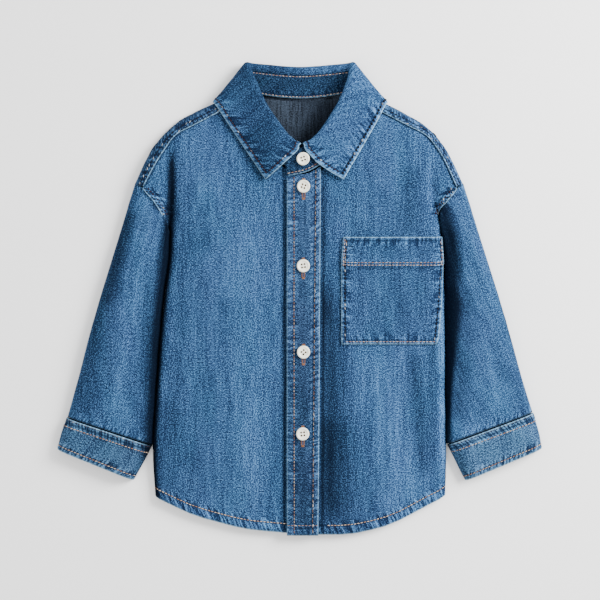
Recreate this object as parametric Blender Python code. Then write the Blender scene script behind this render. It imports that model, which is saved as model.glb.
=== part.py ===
"""A small child's denim shirt, buttoned and laid flat on its back.

Every length in the tables is in millimetres.  +Z is up from the surface that the
shirt lies on, +Y runs towards the collar and -X is the wearer's right.
"""

import math

import bmesh
import bpy
import numpy as np

MM = 0.001

WALL = 1.2            # one ply of denim with its seam allowances
SEAM_GAP = 0.4        # air between two pieces at a seam
POCKET_WALL = 1.4
BAND_WALL = 1.8       # the placket, folded double
EDGE_LIFT = 2.2       # where the front's side edge ends, over the back
SIDE_ROLL = 13.0      # how far in the soft roll of a shoulder or sleeve fold reaches
CREASE_ROLL = 7.0     # the same for the body's side folds
WIDENS = 14.0         # over what length above the underarm that roll widens again
LOFT = 10.4           # how high the front stands over the back at the chest
HEM_LOFT = 5.6        # the same at the hem
HEM_FADE = 62.0       # over what length the hem's loft grows to the chest's
VALLEY_TOP = 140.0    # where the crease between body and shoulder begins
UNDERARM = 56.0       # where that crease has parted body from sleeve

BUTTON_RADIUS = 5.85
BUTTON_HEIGHT = 2.4
BUTTON_SIDES = 16

PLACKET_LEFT = -11.3
PLACKET_RIGHT = (19.2, 16.9)  # at the top, at the hem
PLACKET_TOP = ((-11.3, 107.4), (9.0, 112.4), (19.2, 118.0))  # x, y under the stand
PLACKET_END = -212.6

# The side folds of the body; above the underarm, the crease beside the shoulder.
BODY_EDGE = (  # y, right_x, left_x
    (-178.0, -129.4, 131.0),
    (-163.0, -131.0, 131.6),
    (-145.0, -131.6, 131.8),
    (-127.0, -131.2, 131.6),
    (-109.0, -130.6, 131.4),
    (-91.0, -129.3, 131.2),
    (-73.0, -128.0, 131.1),
    (-55.0, -126.8, 131.0),
    (-37.0, -125.3, 130.9),
    (-19.0, -123.7, 130.6),
    (-1.0, -121.9, 130.2),
    (17.0, -119.6, 130.0),
    (35.0, -117.2, 129.6),
    (53.0, -116.3, 128.2),
    (60.0, -116.0, 126.7),
    (66.0, -115.8, 125.2),
    (77.0, -115.5, 122.6),
    (107.0, -114.6, 118.6),
    (140.0, -113.6, 117.0),
)

HEM = (  # x, y
    (-129.4, -178.0),
    (-125.6, -180.2),
    (-112.0, -186.8),
    (-98.6, -193.0),
    (-85.0, -197.6),
    (-71.6, -201.2),
    (-58.0, -204.8),
    (-44.6, -207.4),
    (-31.0, -208.8),
    (-12.0, -210.4),
    (18.0, -212.0),
    (36.5, -212.0),
    (50.0, -210.8),
    (63.5, -208.0),
    (77.0, -204.4),
    (90.5, -198.8),
    (104.0, -191.6),
    (117.5, -184.4),
    (124.0, -181.2),
    (131.0, -177.0),
)

# Each row of the fronts runs from the middle or the neck to the side, the armhole
# or the forward shoulder seam.
RIGHT_FRONT = (  # inner_x, inner_y, outer_x, outer_y
    (13.0, -211.7, -129.4, -178.0),
    (13.0, -170.0, -131.6, -145.0),
    (13.0, -125.0, -130.6, -109.0),
    (13.0, -80.0, -128.0, -73.0),
    (13.0, -32.0, -124.7, -30.0),
    (13.0, 17.0, -119.6, 17.0),
    (13.0, 56.0, -116.2, 56.0),
    (13.0, 85.0, -119.8, 71.8),
    (13.0, 99.0, -128.3, 86.4),
    (13.0, 109.0, -138.8, 99.2),
    (0.0, 112.0, -136.6, 105.6),
    (-15.0, 118.0, -130.0, 119.0),
    (-28.0, 129.0, -120.8, 134.0),
    (-39.0, 144.0, -110.6, 146.0),
    (-47.0, 158.0, -94.0, 155.3),
    (-51.0, 168.0, -75.2, 165.2),
    (-52.0, 176.0, -58.0, 174.0),
)

LEFT_FRONT = (  # inner_x, inner_y, outer_x, outer_y
    (15.0, -211.8, 131.0, -177.0),
    (15.0, -170.0, 131.8, -145.0),
    (15.0, -125.0, 131.4, -109.0),
    (15.0, -80.0, 131.1, -73.0),
    (15.0, -32.0, 130.8, -30.0),
    (15.0, 17.0, 130.0, 17.0),
    (15.0, 56.0, 127.6, 56.0),
    (15.0, 83.0, 122.8, 76.4),
    (15.0, 99.0, 130.4, 87.0),
    (16.0, 110.0, 139.0, 98.2),
    (22.0, 117.0, 137.2, 106.0),
    (29.0, 126.0, 132.4, 118.6),
    (37.0, 137.0, 124.6, 131.6),
    (45.0, 150.0, 113.4, 145.0),
    (51.0, 162.0, 96.8, 154.2),
    (53.0, 170.0, 77.9, 164.0),
    (53.5, 177.0, 60.0, 174.0),
)

# The fold over the shoulder, from the armhole to the neck, with the seam in front.
SHOULDER_RIGHT = (  # fold_x, fold_y, seam_x, seam_y
    (-147.4, 104.8, -138.2, 102.2),
    (-137.2, 126.5, -129.0, 119.6),
    (-128.2, 140.6, -119.6, 134.2),
    (-112.0, 156.8, -109.8, 146.4),
    (-97.2, 167.4, -94.0, 155.0),
    (-74.8, 174.4, -75.2, 164.8),
    (-51.6, 186.0, -55.0, 175.4),
)

SHOULDER_LEFT = (  # fold_x, fold_y, seam_x, seam_y
    (146.4, 104.8, 139.2, 101.8),
    (137.2, 124.4, 131.8, 118.4),
    (127.6, 140.2, 124.4, 131.8),
    (113.9, 154.6, 113.4, 145.2),
    (97.4, 166.0, 96.8, 154.4),
    (76.2, 173.6, 77.9, 164.2),
    (52.6, 186.0, 56.0, 175.4),
)

RIGHT_SLEEVE = (  # outer_x, outer_y, inner_x, inner_y, loft, inner_roll
    (-148.0, 103.9, -116.9, 58.6, 9.6, 9.0),
    (-158.9, 68.0, -118.1, 34.0, 10.6, 9.0),
    (-170.0, 32.0, -121.6, 8.0, 11.6, 8.0),
    (-181.0, -4.0, -124.6, -20.0, 12.0, 8.0),
    (-190.5, -38.0, -127.2, -50.0, 12.2, 8.0),
    (-199.5, -73.0, -130.0, -90.0, 11.6, 8.0),
    (-208.8, -106.2, -132.1, -131.4, 10.4, 8.0),
)

LEFT_SLEEVE = (  # outer_x, outer_y, inner_x, inner_y, loft, inner_roll
    (147.4, 103.8, 127.5, 60.0, 9.6, 20.0),
    (157.8, 70.5, 130.4, 34.0, 10.6, 24.0),
    (168.8, 36.0, 130.9, 8.0, 11.6, 22.0),
    (179.8, 1.0, 131.3, -20.0, 12.0, 16.0),
    (190.6, -36.0, 131.7, -50.0, 12.2, 12.0),
    (200.8, -73.0, 131.9, -90.0, 11.6, 9.0),
    (209.8, -102.0, 132.4, -130.6, 10.4, 8.0),
)

RIGHT_CUFF = (  # outer_x, outer_y, inner_x, inner_y, loft, inner_roll
    (-209.6, -107.0, -132.7, -132.4, 11.2, 13.0),
    (-213.2, -117.2, -138.4, -143.6, 11.4, 13.0),
    (-216.2, -127.0, -143.8, -153.6, 11.0, 13.0),
    (-218.0, -135.4, -149.2, -163.2, 10.0, 13.0),
)

LEFT_CUFF = (  # outer_x, outer_y, inner_x, inner_y, loft, inner_roll
    (210.6, -102.8, 133.0, -131.6, 11.2, 13.0),
    (213.8, -113.8, 138.8, -142.8, 11.4, 13.0),
    (216.6, -124.4, 143.8, -153.2, 11.0, 13.0),
    (218.2, -134.6, 149.2, -163.6, 10.0, 13.0),
)

# The armhole seam, from the shoulder fold to the underarm: the sleeve's first ring.
RIGHT_ARMHOLE = (  # x, y
    (-148.0, 103.9), (-139.6, 98.4), (-128.9, 85.8), (-120.4, 71.4), (-116.9, 58.6),
)
LEFT_ARMHOLE = (  # x, y
    (147.4, 103.8), (140.2, 97.6), (131.8, 86.6), (125.9, 75.6), (127.5, 60.0),
)

# The long soft folds of the fronts: a ridge where height is above 0, else a trough.
FRONT_FOLDS = (  # x, y, end_x, end_y, width, height
    (30.0, -20.0, 33.0, -196.0, 9.0, -1.7),
    (48.0, -60.0, 50.0, -190.0, 11.0, 0.8),
    (-22.0, 60.0, -24.0, -190.0, 9.0, -0.9),
    (-46.0, 20.0, -52.0, -170.0, 12.0, 0.8),
    (-84.0, 40.0, -92.0, -150.0, 12.0, -0.9),
    (-104.0, -20.0, -108.0, -150.0, 9.0, 0.8),
    (-100.0, 66.0, -66.0, 18.0, 9.0, -0.8),
    (-92.0, 118.0, -74.0, 60.0, 12.0, 0.7),
    (104.0, 78.0, 74.0, 66.0, 10.0, -0.6),
    (92.0, -60.0, 96.0, -168.0, 12.0, -0.9),
    (74.0, 128.0, 60.0, 72.0, 12.0, 0.7),
    (116.0, -50.0, 118.0, -160.0, 8.0, 0.6),
)

SLEEVE_FOLDS = (  # along, across, end_along, end_across, width, height
    (0.02, 0.72, 0.34, 0.80, 0.10, -1.5),
    (0.05, 0.45, 0.45, 0.52, 0.12, 0.7),
    (0.30, 0.62, 0.72, 0.66, 0.10, -1.0),
    (0.55, 0.30, 0.95, 0.34, 0.12, -0.9),
    (0.60, 0.82, 0.98, 0.80, 0.08, 0.6),
)

# The collar's fall: its roll, its outer edge and how far the fold has turned under.
COLLAR = (  # roll_x, roll_y, roll_z, edge_x, edge_y, edge_z, turn, radius, lap
    (1.6, 138.6, 15.8, -30.4, 106.0, 16.4, 0.0, 2.9, 3.3),
    (-4.2, 142.0, 15.9, -38.4, 118.0, 16.0, 0.0, 2.8, 3.4),
    (-10.6, 147.6, 16.4, -46.2, 129.6, 15.5, 0.0, 2.8, 4.0),
    (-19.4, 159.3, 17.2, -56.8, 145.4, 15.2, 0.0, 3.0, 6.0),
    (-29.3, 174.2, 17.8, -67.0, 160.8, 15.4, 4.0, 3.2, 7.5),
    (-37.2, 191.4, 17.0, -73.4, 170.6, 14.4, 18.0, 3.4, 8.0),
    (-42.4, 204.2, 13.6, -76.8, 175.0, 11.0, 52.0, 3.4, 8.0),
    (-44.8, 210.6, 10.0, -78.0, 176.4, 6.6, 90.0, 3.4, 8.0),
    (-43.9, 211.6, 6.8, -76.0, 175.6, 1.2, 128.0, 3.4, 8.0),
    (-39.0, 211.4, 4.4, -64.0, 169.8, 0.0, 165.0, 3.4, 8.0),
    (-27.0, 210.4, 3.4, -42.0, 165.0, 0.0, 180.0, 3.4, 8.0),
    (-13.0, 209.2, 3.4, -20.0, 162.6, 0.0, 180.0, 3.4, 8.0),
    (0.0, 208.6, 3.4, 0.0, 162.0, 0.0, 180.0, 3.4, 8.0),
    (14.0, 209.2, 3.4, 21.0, 162.6, 0.0, 180.0, 3.4, 8.0),
    (28.0, 210.4, 3.4, 43.0, 165.0, 0.0, 180.0, 3.4, 8.0),
    (40.0, 211.4, 4.4, 65.0, 169.8, 0.0, 165.0, 3.4, 8.0),
    (44.7, 211.6, 6.8, 77.4, 175.2, 1.2, 128.0, 3.4, 8.0),
    (45.6, 210.6, 10.0, 79.4, 175.9, 6.6, 90.0, 3.4, 8.0),
    (44.5, 204.2, 13.6, 78.2, 174.5, 11.0, 52.0, 3.4, 8.0),
    (41.2, 192.2, 17.0, 75.0, 168.9, 14.4, 18.0, 3.4, 8.0),
    (34.8, 176.6, 17.8, 69.6, 158.4, 15.4, 4.0, 3.2, 7.5),
    (26.4, 162.4, 17.6, 61.0, 143.4, 15.2, 0.0, 3.0, 6.0),
    (17.4, 149.4, 17.0, 52.4, 128.4, 15.4, 0.0, 2.4, 4.0),
    (9.6, 142.0, 16.7, 45.2, 116.4, 15.8, 0.0, 2.0, 3.0),
    (2.6, 138.6, 16.6, 39.6, 106.2, 16.4, 0.0, 1.9, 2.6),
)

# How far the front edge of each leaf bows out of a straight line, from its roll on.
LEAF_BOW = (  # share of the edge, right leaf, left leaf
    (0.0, 0.0, 0.0),
    (0.05, 2.2, 2.4),
    (0.12, 2.4, 3.3),
    (0.26, 2.1, 3.8),
    (0.38, 1.9, 4.6),
    (0.55, 1.5, 4.0),
    (0.74, 1.0, 2.7),
    (1.0, 0.0, 0.0),
)
BOW_ROWS = 4.0         # rows of the collar over which the bow dies away
STAND_BOW = 9.0        # how far the stand's upper end bows out, towards its free edge
STAND_BOW_ROWS = 3.0

# The stand's seam to the neck, one row for each row of the collar.
NECK_SEAM = (  # x, y, z
    (9.0, 115.0, 12.4),
    (-1.6, 115.6, 12.4),
    (-13.4, 120.0, 12.4),
    (-27.2, 131.0, 12.6),
    (-38.0, 145.6, 12.8),
    (-46.6, 161.0, 12.6),
    (-50.2, 174.0, 10.8),
    (-49.6, 183.0, 8.4),
    (-47.4, 185.6, 6.6),
    (-40.0, 184.6, 5.2),
    (-28.0, 182.4, 4.7),
    (-14.0, 180.8, 4.6),
    (0.0, 180.2, 4.6),
    (14.0, 180.8, 4.6),
    (28.0, 182.4, 4.7),
    (41.0, 184.6, 5.2),
    (48.6, 185.6, 6.6),
    (50.6, 183.0, 8.4),
    (51.4, 174.0, 10.8),
    (48.6, 161.0, 12.8),
    (42.6, 149.0, 13.2),
    (34.6, 137.6, 13.8),
    (24.6, 124.6, 14.4),
    (9.0, 114.2, 14.8),
    (-10.0, 109.4, 15.0),
)

NECKLINE = ((-51.6, 186.0), (-36.0, 182.6), (0.0, 179.2), (36.0, 182.6), (52.6, 186.0))

POCKET_SIDES = (  # y, left_x, right_x
    (55.0, 39.0, 126.0),
    (32.0, 37.3, 127.6),
    (27.0, 37.3, 127.4),
    (-8.0, 37.3, 126.2),
    (-34.0, 37.4, 124.4),
    (-41.0, 37.8, 123.0),
)
POCKET_BAND = 31.0     # the lower edge of the pocket's folded top band
POCKET_BAND_RISE = 0.5

BUTTONS = (  # x, y
    (3.2, 124.6),
    (3.6, 100.2),
    (3.4, 29.2),
    (3.6, -47.9),
    (2.9, -120.9),
)

FINISHES = {  # name: red, green, blue, roughness
    "denim": (0.075, 0.17, 0.34, 0.9),
    "denim_shade": (0.05, 0.12, 0.25, 0.9),
    "denim_pale": (0.12, 0.24, 0.42, 0.9),
    "ivory": (0.78, 0.75, 0.64, 0.35),
}


def clear_scene():
    for obj in list(bpy.data.objects):
        bpy.data.objects.remove(obj, do_unlink=True)


def finish(name):
    material = bpy.data.materials.get(name)
    if material is None:
        red, green, blue, roughness = FINISHES[name]
        material = bpy.data.materials.new(name)
        material.use_nodes = True
        shader = material.node_tree.nodes["Principled BSDF"]
        shader.inputs["Base Color"].default_value = (red, green, blue, 1.0)
        shader.inputs["Roughness"].default_value = roughness
        shader.inputs["Metallic"].default_value = 0.0
    return material


def smooth_rows(table, count, parameters=None):
    """The table's rows as a smooth curve, read at count even steps."""
    rows = np.array(table, float)
    knots = np.arange(len(rows), dtype=float)
    if parameters is None:
        parameters = np.linspace(0.0, len(rows) - 1.0, count)
    slopes = np.gradient(rows, knots, axis=0)
    index = np.clip(parameters.astype(int), 0, len(rows) - 2)
    t = (parameters - index)[:, None]
    before, after = rows[index], rows[index + 1]
    h00 = 2 * t**3 - 3 * t**2 + 1
    h10 = t**3 - 2 * t**2 + t
    h01 = -2 * t**3 + 3 * t**2
    h11 = t**3 - t**2
    return h00 * before + h10 * slopes[index] + h01 * after + h11 * slopes[index + 1]


def ease(value):
    value = np.clip(value, 0.0, 1.0)
    return value * value * (3.0 - 2.0 * value)


def rounded(distance, width):
    """From 0 at an edge, upright there, to 1 at width from it."""
    inward = np.clip(distance / width, 0.0, 1.0)
    return np.sqrt(np.maximum(1.0 - (1.0 - inward) ** 2, 0.0))


def distance_to(x, y, line):
    """How far each point is from a line of straight stretches."""
    x, y = np.broadcast_arrays(np.asarray(x, float), np.asarray(y, float))
    nearest = np.full(x.shape, 1e9)
    for (ax, ay), (bx, by) in zip(line[:-1], line[1:]):
        dx, dy = bx - ax, by - ay
        t = np.clip(((x - ax) * dx + (y - ay) * dy) / (dx * dx + dy * dy), 0.0, 1.0)
        nearest = np.minimum(nearest, np.hypot(x - ax - t * dx, y - ay - t * dy))
    return nearest


def fold_height(x, y, folds):
    """The sum of the soft folds, each fading out at its ends."""
    total = np.zeros(np.broadcast(x, y).shape)
    for ax, ay, bx, by, width, height in folds:
        dx, dy = bx - ax, by - ay
        t = ((x - ax) * dx + (y - ay) * dy) / (dx * dx + dy * dy)
        side = (x - ax - t * dx) ** 2 + (y - ay - t * dy) ** 2
        fade = ease(t / 0.3) * ease((1.0 - t) / 0.3)
        total = total + height * fade * np.exp(-side / (width * width))
    return total


def hem_y(x):
    table = np.array(HEM)
    return np.interp(x, table[:, 0], table[:, 1])


RIGHT_FOLD = [row[:2] for row in SHOULDER_RIGHT[::-1]] + [row[:2] for row in RIGHT_SLEEVE]
LEFT_FOLD = [row[:2] for row in SHOULDER_LEFT[::-1]] + [row[:2] for row in LEFT_SLEEVE]
RIGHT_CREASE = [(row[1], row[0]) for row in BODY_EDGE]
LEFT_CREASE = [(row[2], row[0]) for row in BODY_EDGE]


def front_top(x, y):
    """How high the fronts' outer face lies over the surface."""
    x, y = np.broadcast_arrays(np.asarray(x, float), np.asarray(y, float))
    fold = np.minimum(distance_to(x, y, RIGHT_FOLD), distance_to(x, y, LEFT_FOLD))
    crease = np.minimum(distance_to(x, y, RIGHT_CREASE), distance_to(x, y, LEFT_CREASE))
    parted = ease((VALLEY_TOP - y) / (VALLEY_TOP - UNDERARM))
    loft = HEM_LOFT + (LOFT - HEM_LOFT) * ease((y - hem_y(x)) / HEM_FADE)
    reach = CREASE_ROLL + (SIDE_ROLL - CREASE_ROLL) * ease((y - UNDERARM) / WIDENS)
    side = rounded(fold, SIDE_ROLL) * (1.0 - parted * (1.0 - rounded(crease, reach)))
    soft = fold_height(x, y, FRONT_FOLDS) * ease(crease / CREASE_ROLL)
    return EDGE_LIFT + loft * side + soft * ease((y - hem_y(x)) / 12.0 + 0.3)


def moved_out(x, y, lift):
    """Points at the fronts' outer face, moved out along its normal."""
    step = 0.6
    rise_x = (front_top(x + step, y) - front_top(x - step, y)) / (2 * step)
    rise_y = (front_top(x, y + step) - front_top(x, y - step)) / (2 * step)
    length = np.sqrt(1.0 + rise_x**2 + rise_y**2)
    height = front_top(x, y)
    return np.stack(
        [x - rise_x / length * lift, y - rise_y / length * lift, height + lift / length],
        axis=-1,
    )


def bank(points, material, name, wall, closed=False):
    """A grid of points as one cloth wall, which thickens away from the shown face."""
    rows, columns = points.shape[:2]
    mesh = bmesh.new()
    verts = [[mesh.verts.new(tuple(p * MM)) for p in row] for row in points]
    around = columns if closed else columns - 1
    for i in range(rows - 1):
        for j in range(around):
            k = (j + 1) % columns
            mesh.faces.new((verts[i][j], verts[i][k], verts[i + 1][k], verts[i + 1][j]))
    return wall_object(mesh, material, name, wall)


def wall_object(mesh, material, name, wall):
    data = bpy.data.meshes.new(name)
    mesh.to_mesh(data)
    mesh.free()
    data.shade_smooth()
    data.materials.append(finish(material))
    obj = bpy.data.objects.new(name, data)
    bpy.context.scene.collection.objects.link(obj)
    solidify = obj.modifiers.new("Wall", "SOLIDIFY")
    solidify.thickness = wall * MM
    solidify.offset = -1.0
    solidify.use_even_offset = True
    solidify.use_rim = True
    return obj


ROLL_STEPS = np.array([0.0, 0.5, 1.8, 4.2, 8.0, 13.0])  # columns in from a fold
COLUMN_STEP = 11.5
FULL_WIDTH = 140.0     # of a front, from its side in to the middle
NARROW = 120.0         # a row shorter than this draws its outer columns together
FRONT_ROWS = 33


def front_panel(name, table):
    """A front: rows from the side in to the middle, from the hem up to the neck."""
    rows = smooth_rows(table, FRONT_ROWS)
    inner_count = round((FULL_WIDTH - ROLL_STEPS[-1]) / COLUMN_STEP)
    hem_row = rows[0]
    points = []
    for inner_x, inner_y, outer_x, outer_y in rows:
        length = math.hypot(outer_x - inner_x, outer_y - inner_y)
        roll = ROLL_STEPS / length * min(1.0, length / NARROW)
        share = np.concatenate([roll, np.linspace(roll[-1], 1.0, inner_count + 1)[1:]])
        x = outer_x + (inner_x - outer_x) * share
        y = outer_y + (inner_y - outer_y) * share
        chord = hem_row[3] + (hem_row[1] - hem_row[3]) * share
        y = y + (hem_y(x) - chord) * ease(1.0 - (y - chord) / HEM_FADE)
        points.append(np.stack([x, y, front_top(x, y)], axis=-1))
    points = np.array(points)
    if points[0, 0, 0] > 0:
        points = points[:, ::-1]
    return bank(points, "denim", name, WALL)


FALL_UNDER = (146.0, 12.0, 82.0, 10.0)  # where the fall lies under the back: y, fade, x, fade
FALL_LIFT = 1.8


def back_lift(x, y):
    """The back rides over the collar's fall, which lies under its neck edge."""
    start, fade, reach, side_fade = FALL_UNDER
    return FALL_LIFT * ease((y - start) / fade) * (1.0 - ease((np.abs(x) - reach) / side_fade))


SHOULDER_ROWS = 13
WRAP_STEPS = ((2.4, 0.0), (0.5, 0.5))  # in from the fold, up: on the underside
OVER_STEPS = (0.0, 0.9, 2.8, 5.4)  # in from the fold, on the upper side
OVER_FOLD = 2.0                    # least height of the strip over the back
BACK_COLUMNS = 15
ARMHOLE_ROWS = 10                  # rows of the fronts below the shoulder strip
LOW_ROWS = 18
NECK_FADE = 40.0                   # over what length the neck's dip fades out


def shoulder_wrap(table):
    """Per row along the fold: the points from the underside round to the front seam."""
    sign = -1.0 if table[0][0] < 0 else 1.0
    rows = smooth_rows(table, SHOULDER_ROWS)
    tangent = np.gradient(rows[:, :2], axis=0)
    tangent /= np.linalg.norm(tangent, axis=1)[:, None]
    inward = np.stack([tangent[:, 1], -tangent[:, 0]], axis=1) * -sign
    sections = []
    for (fx, fy, sx, sy), (nx, ny) in zip(rows, inward):
        section = []
        base = float(back_lift(fx, fy))
        for step, height in WRAP_STEPS:
            section.append((fx + nx * step, fy + ny * step, base + height))
        full = math.hypot(sx - fx, sy - fy)
        for step in OVER_STEPS + (full,):
            t = step / full
            x = fx + (sx - fx) * t
            y = fy + (sy - fy) * t
            lift = (WALL + SEAM_GAP) * min(1.0, 2.0 * t)
            x, y, top = moved_out(np.array(x), np.array(y), lift)
            section.append((x, y, max(top, base + OVER_FOLD)))
        sections.append(section)
    return np.array(sections)


def back_panel():
    """The back: a flat sheet, joined over each shoulder to the strip at the front."""
    wrap_right = shoulder_wrap(SHOULDER_RIGHT)
    wrap_left = shoulder_wrap(SHOULDER_LEFT)
    low_right, low_left = (
        smooth_rows([row[2:] for row in table[:ARMHOLE_ROWS]], LOW_ROWS)[:-1]
        for table in (RIGHT_FRONT, LEFT_FRONT))
    right = np.vstack([low_right, wrap_right[:, 0, :2]])
    left = np.vstack([low_left, wrap_left[:, 0, :2]])
    across = np.linspace(0.0, 1.0, BACK_COLUMNS)
    neck = np.array(NECKLINE)
    mesh = bmesh.new()
    grid = []
    total = len(right)
    for i in range(total):
        x = right[i, 0] + (left[i, 0] - right[i, 0]) * across
        y = right[i, 1] + (left[i, 1] - right[i, 1]) * across
        chord = right[0, 1] + (left[0, 1] - right[0, 1]) * across
        y = y + (hem_y(x) - chord) * ease(1.0 - (y - chord) / HEM_FADE)
        top = right[-1, 1] + (left[-1, 1] - right[-1, 1]) * across
        top_x = right[-1, 0] + (left[-1, 0] - right[-1, 0]) * across
        dip = np.interp(top_x, neck[:, 0], neck[:, 1]) - neck[0, 1]
        y = y + dip * ease(1.0 - (top - y) / NECK_FADE)
        z = back_lift(x, y)
        grid.append([mesh.verts.new((a * MM, b * MM, c * MM)) for a, b, c in zip(x, y, z)])
    for i in range(total - 1):
        for j in range(BACK_COLUMNS - 1):
            mesh.faces.new((grid[i][j], grid[i + 1][j], grid[i + 1][j + 1], grid[i][j + 1]))
    first = len(low_right)
    for wrap, column, turned in ((wrap_right, 0, False), (wrap_left, -1, True)):
        lines = []
        for k, section in enumerate(wrap):
            line = [grid[first + k][column]]
            line += [mesh.verts.new(tuple(point * MM)) for point in section[1:]]
            lines.append(line)
        for lower, upper in zip(lines[:-1], lines[1:]):
            for j in range(len(lower) - 1):
                quad = (lower[j], lower[j + 1], upper[j + 1], upper[j])
                mesh.faces.new(quad[::-1] if turned else quad)
    return wall_object(mesh, "denim_shade", "back", WALL)


UNDER_STEPS = np.array([0.3, 2.2, 12.0])  # in from a tube's fold, on the underside


def tube_section(length, loft, inner_roll, along, folds):
    """(in from the outer edge, z) once round a pressed tube, from its inner edge."""
    middle = np.linspace(ROLL_STEPS[-1], length - ROLL_STEPS[-1], 6)[1:-1]
    top = np.concatenate([ROLL_STEPS, middle, length - ROLL_STEPS[::-1]])
    height = EDGE_LIFT + loft * rounded(top, SIDE_ROLL) * rounded(length - top, inner_roll)
    soft = fold_height(along, top / length, folds) if folds else 0.0
    height = height + soft * ease(top / SIDE_ROLL) * ease((length - top) / inner_roll)
    inner, outer = length - UNDER_STEPS[:2], UNDER_STEPS[1::-1]
    under = np.concatenate([inner, np.linspace(length - UNDER_STEPS[2], UNDER_STEPS[2], 7),
                            outer])
    low = np.where(np.minimum(under, length - under) < 1.0, 0.5 * WALL, 0.0)
    return np.concatenate([top, under]), np.concatenate([height, low])


RING_REACH = 0.22      # share of a sleeve over which its first ring straightens


def pressed_tube(name, material, table, rings, folds=(), first_ring=None):
    """A sleeve or cuff lying flat: rings along its length, open at both ends."""
    rows = smooth_rows(table, rings)
    sections = []
    for i, (ox, oy, ix, iy, loft, inner_roll) in enumerate(rows):
        along = i / (rings - 1)
        length = math.hypot(ix - ox, iy - oy)
        inward, z = tube_section(length, loft, inner_roll, along, folds)
        share = inward / length
        x = ox + (ix - ox) * share
        y = oy + (iy - oy) * share
        if first_ring is not None:
            curve = smooth_rows(first_ring, 0, share * (len(first_ring) - 1))
            pull = float(ease(1.0 - along / RING_REACH))
            x = x + (curve[:, 0] - (rows[0, 0] + (rows[0, 2] - rows[0, 0]) * share)) * pull
            y = y + (curve[:, 1] - (rows[0, 1] + (rows[0, 3] - rows[0, 1]) * share)) * pull
        sections.append(np.stack([x, y, z], axis=-1))
    points = np.array(sections)
    if table[0][0] < 0:
        points = points[:, ::-1]
    return bank(points, material, name, WALL, closed=True)


def collar_sections():
    """The collar's rows, with the way out to the edge and the side the fold turns to."""
    rows = smooth_rows(COLLAR, COLLAR_STATIONS)
    sections = []
    for rx, ry, rz, ex, ey, ez, turn, radius, lap in rows:
        out = np.array([ex - rx, ey - ry])
        reach = np.linalg.norm(out)
        out /= reach
        aside = np.array([out[1], -out[0]])
        if aside[1] < 0:
            aside = -aside
        angle = math.radians(turn)
        lean = np.array([aside[0] * math.sin(angle), aside[1] * math.sin(angle),
                         math.cos(angle)])
        roll = np.array([rx, ry, rz])
        sections.append((roll, np.array([out[0], out[1], 0.0]), lean, radius, lap,
                         np.array([ex, ey, ez])))
    return sections


COLLAR_STATIONS = 49
ROLL_POINTS = 5
LEAF_POINTS = 8
LEAF_SAG = 0.9         # how far a leaf arches up between its roll and its edge


def collar_fall():
    """The fall: from its seam on the stand, round the roll and out to the edge."""
    bow = np.array(LEAF_BOW)
    grid = []
    for i, (roll, out, lean, radius, lap, edge) in enumerate(collar_sections()):
        row = i * (len(COLLAR) - 1) / (COLLAR_STATIONS - 1)
        forward = np.array([-out[1], out[0], 0.0])
        weights = (float(ease(1.0 - row / BOW_ROWS)),
                   -float(ease(1.0 - (len(COLLAR) - 1 - row) / BOW_ROWS)))
        line = [roll + out * lap - lean * radius]
        for k in range(ROLL_POINTS):
            angle = math.pi * k / (ROLL_POINTS - 1)
            line.append(roll + out * radius * (1.0 - math.sin(angle))
                        - lean * radius * math.cos(angle))
        start = line[-1]
        for k in range(1, LEAF_POINTS + 1):
            t = k / LEAF_POINTS
            sag = LEAF_SAG * math.sin(math.pi * t) * abs(lean[2])
            bows = [w * np.interp(t, bow[:, 0], bow[:, k]) for k, w in enumerate(weights, 1)]
            point = start + (edge - start) * t + forward * sum(bows)
            point[2] = max(point[2] + (sag if lean[2] > 0 else 0.0), 0.0)
            line.append(point)
        grid.append(line)
    points = np.array(grid)[:, ::-1]
    points[..., 2] = np.maximum(points[..., 2], 0.0)
    return bank(points, "denim_pale", "collar", WALL)


def collar_stand():
    """The stand: from the neck seam to just short of the fall's seam."""
    seam = smooth_rows(NECK_SEAM, COLLAR_STATIONS)
    grid = []
    for i, ((roll, out, lean, radius, lap, _), low) in enumerate(zip(collar_sections(), seam)):
        high = roll + out * lap - lean * radius
        step = high - low
        high = high - step / np.linalg.norm(step) * SEAM_GAP
        left = (COLLAR_STATIONS - 1 - i) * (len(COLLAR) - 1) / (COLLAR_STATIONS - 1)
        bow = STAND_BOW * float(ease(1.0 - left / STAND_BOW_ROWS))
        grid.append([low + (high - low) * t - np.array([bow * math.sin(math.pi * t), 0.0, 0.0])
                     for t in (0.0, 0.2, 0.4, 0.6, 0.8, 1.0)])
    return bank(np.array(grid)[:, ::-1], "denim_shade", "collar_stand", WALL)


def placket():
    """The folded band over the edges of both fronts."""
    t = np.linspace(0.0, 1.0, 28)[:, None]
    across = np.array([0.0, 0.08, 0.36, 0.64, 0.92, 1.0])[None, :]
    right = PLACKET_RIGHT[1] + (PLACKET_RIGHT[0] - PLACKET_RIGHT[1]) * t
    x = PLACKET_LEFT + (right - PLACKET_LEFT) * across
    top = np.array(PLACKET_TOP)
    y = PLACKET_END + (np.interp(x, top[:, 0], top[:, 1]) - PLACKET_END) * t
    points = moved_out(x, y, SEAM_GAP + BAND_WALL)
    return bank(points, "denim", "placket", BAND_WALL)


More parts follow.
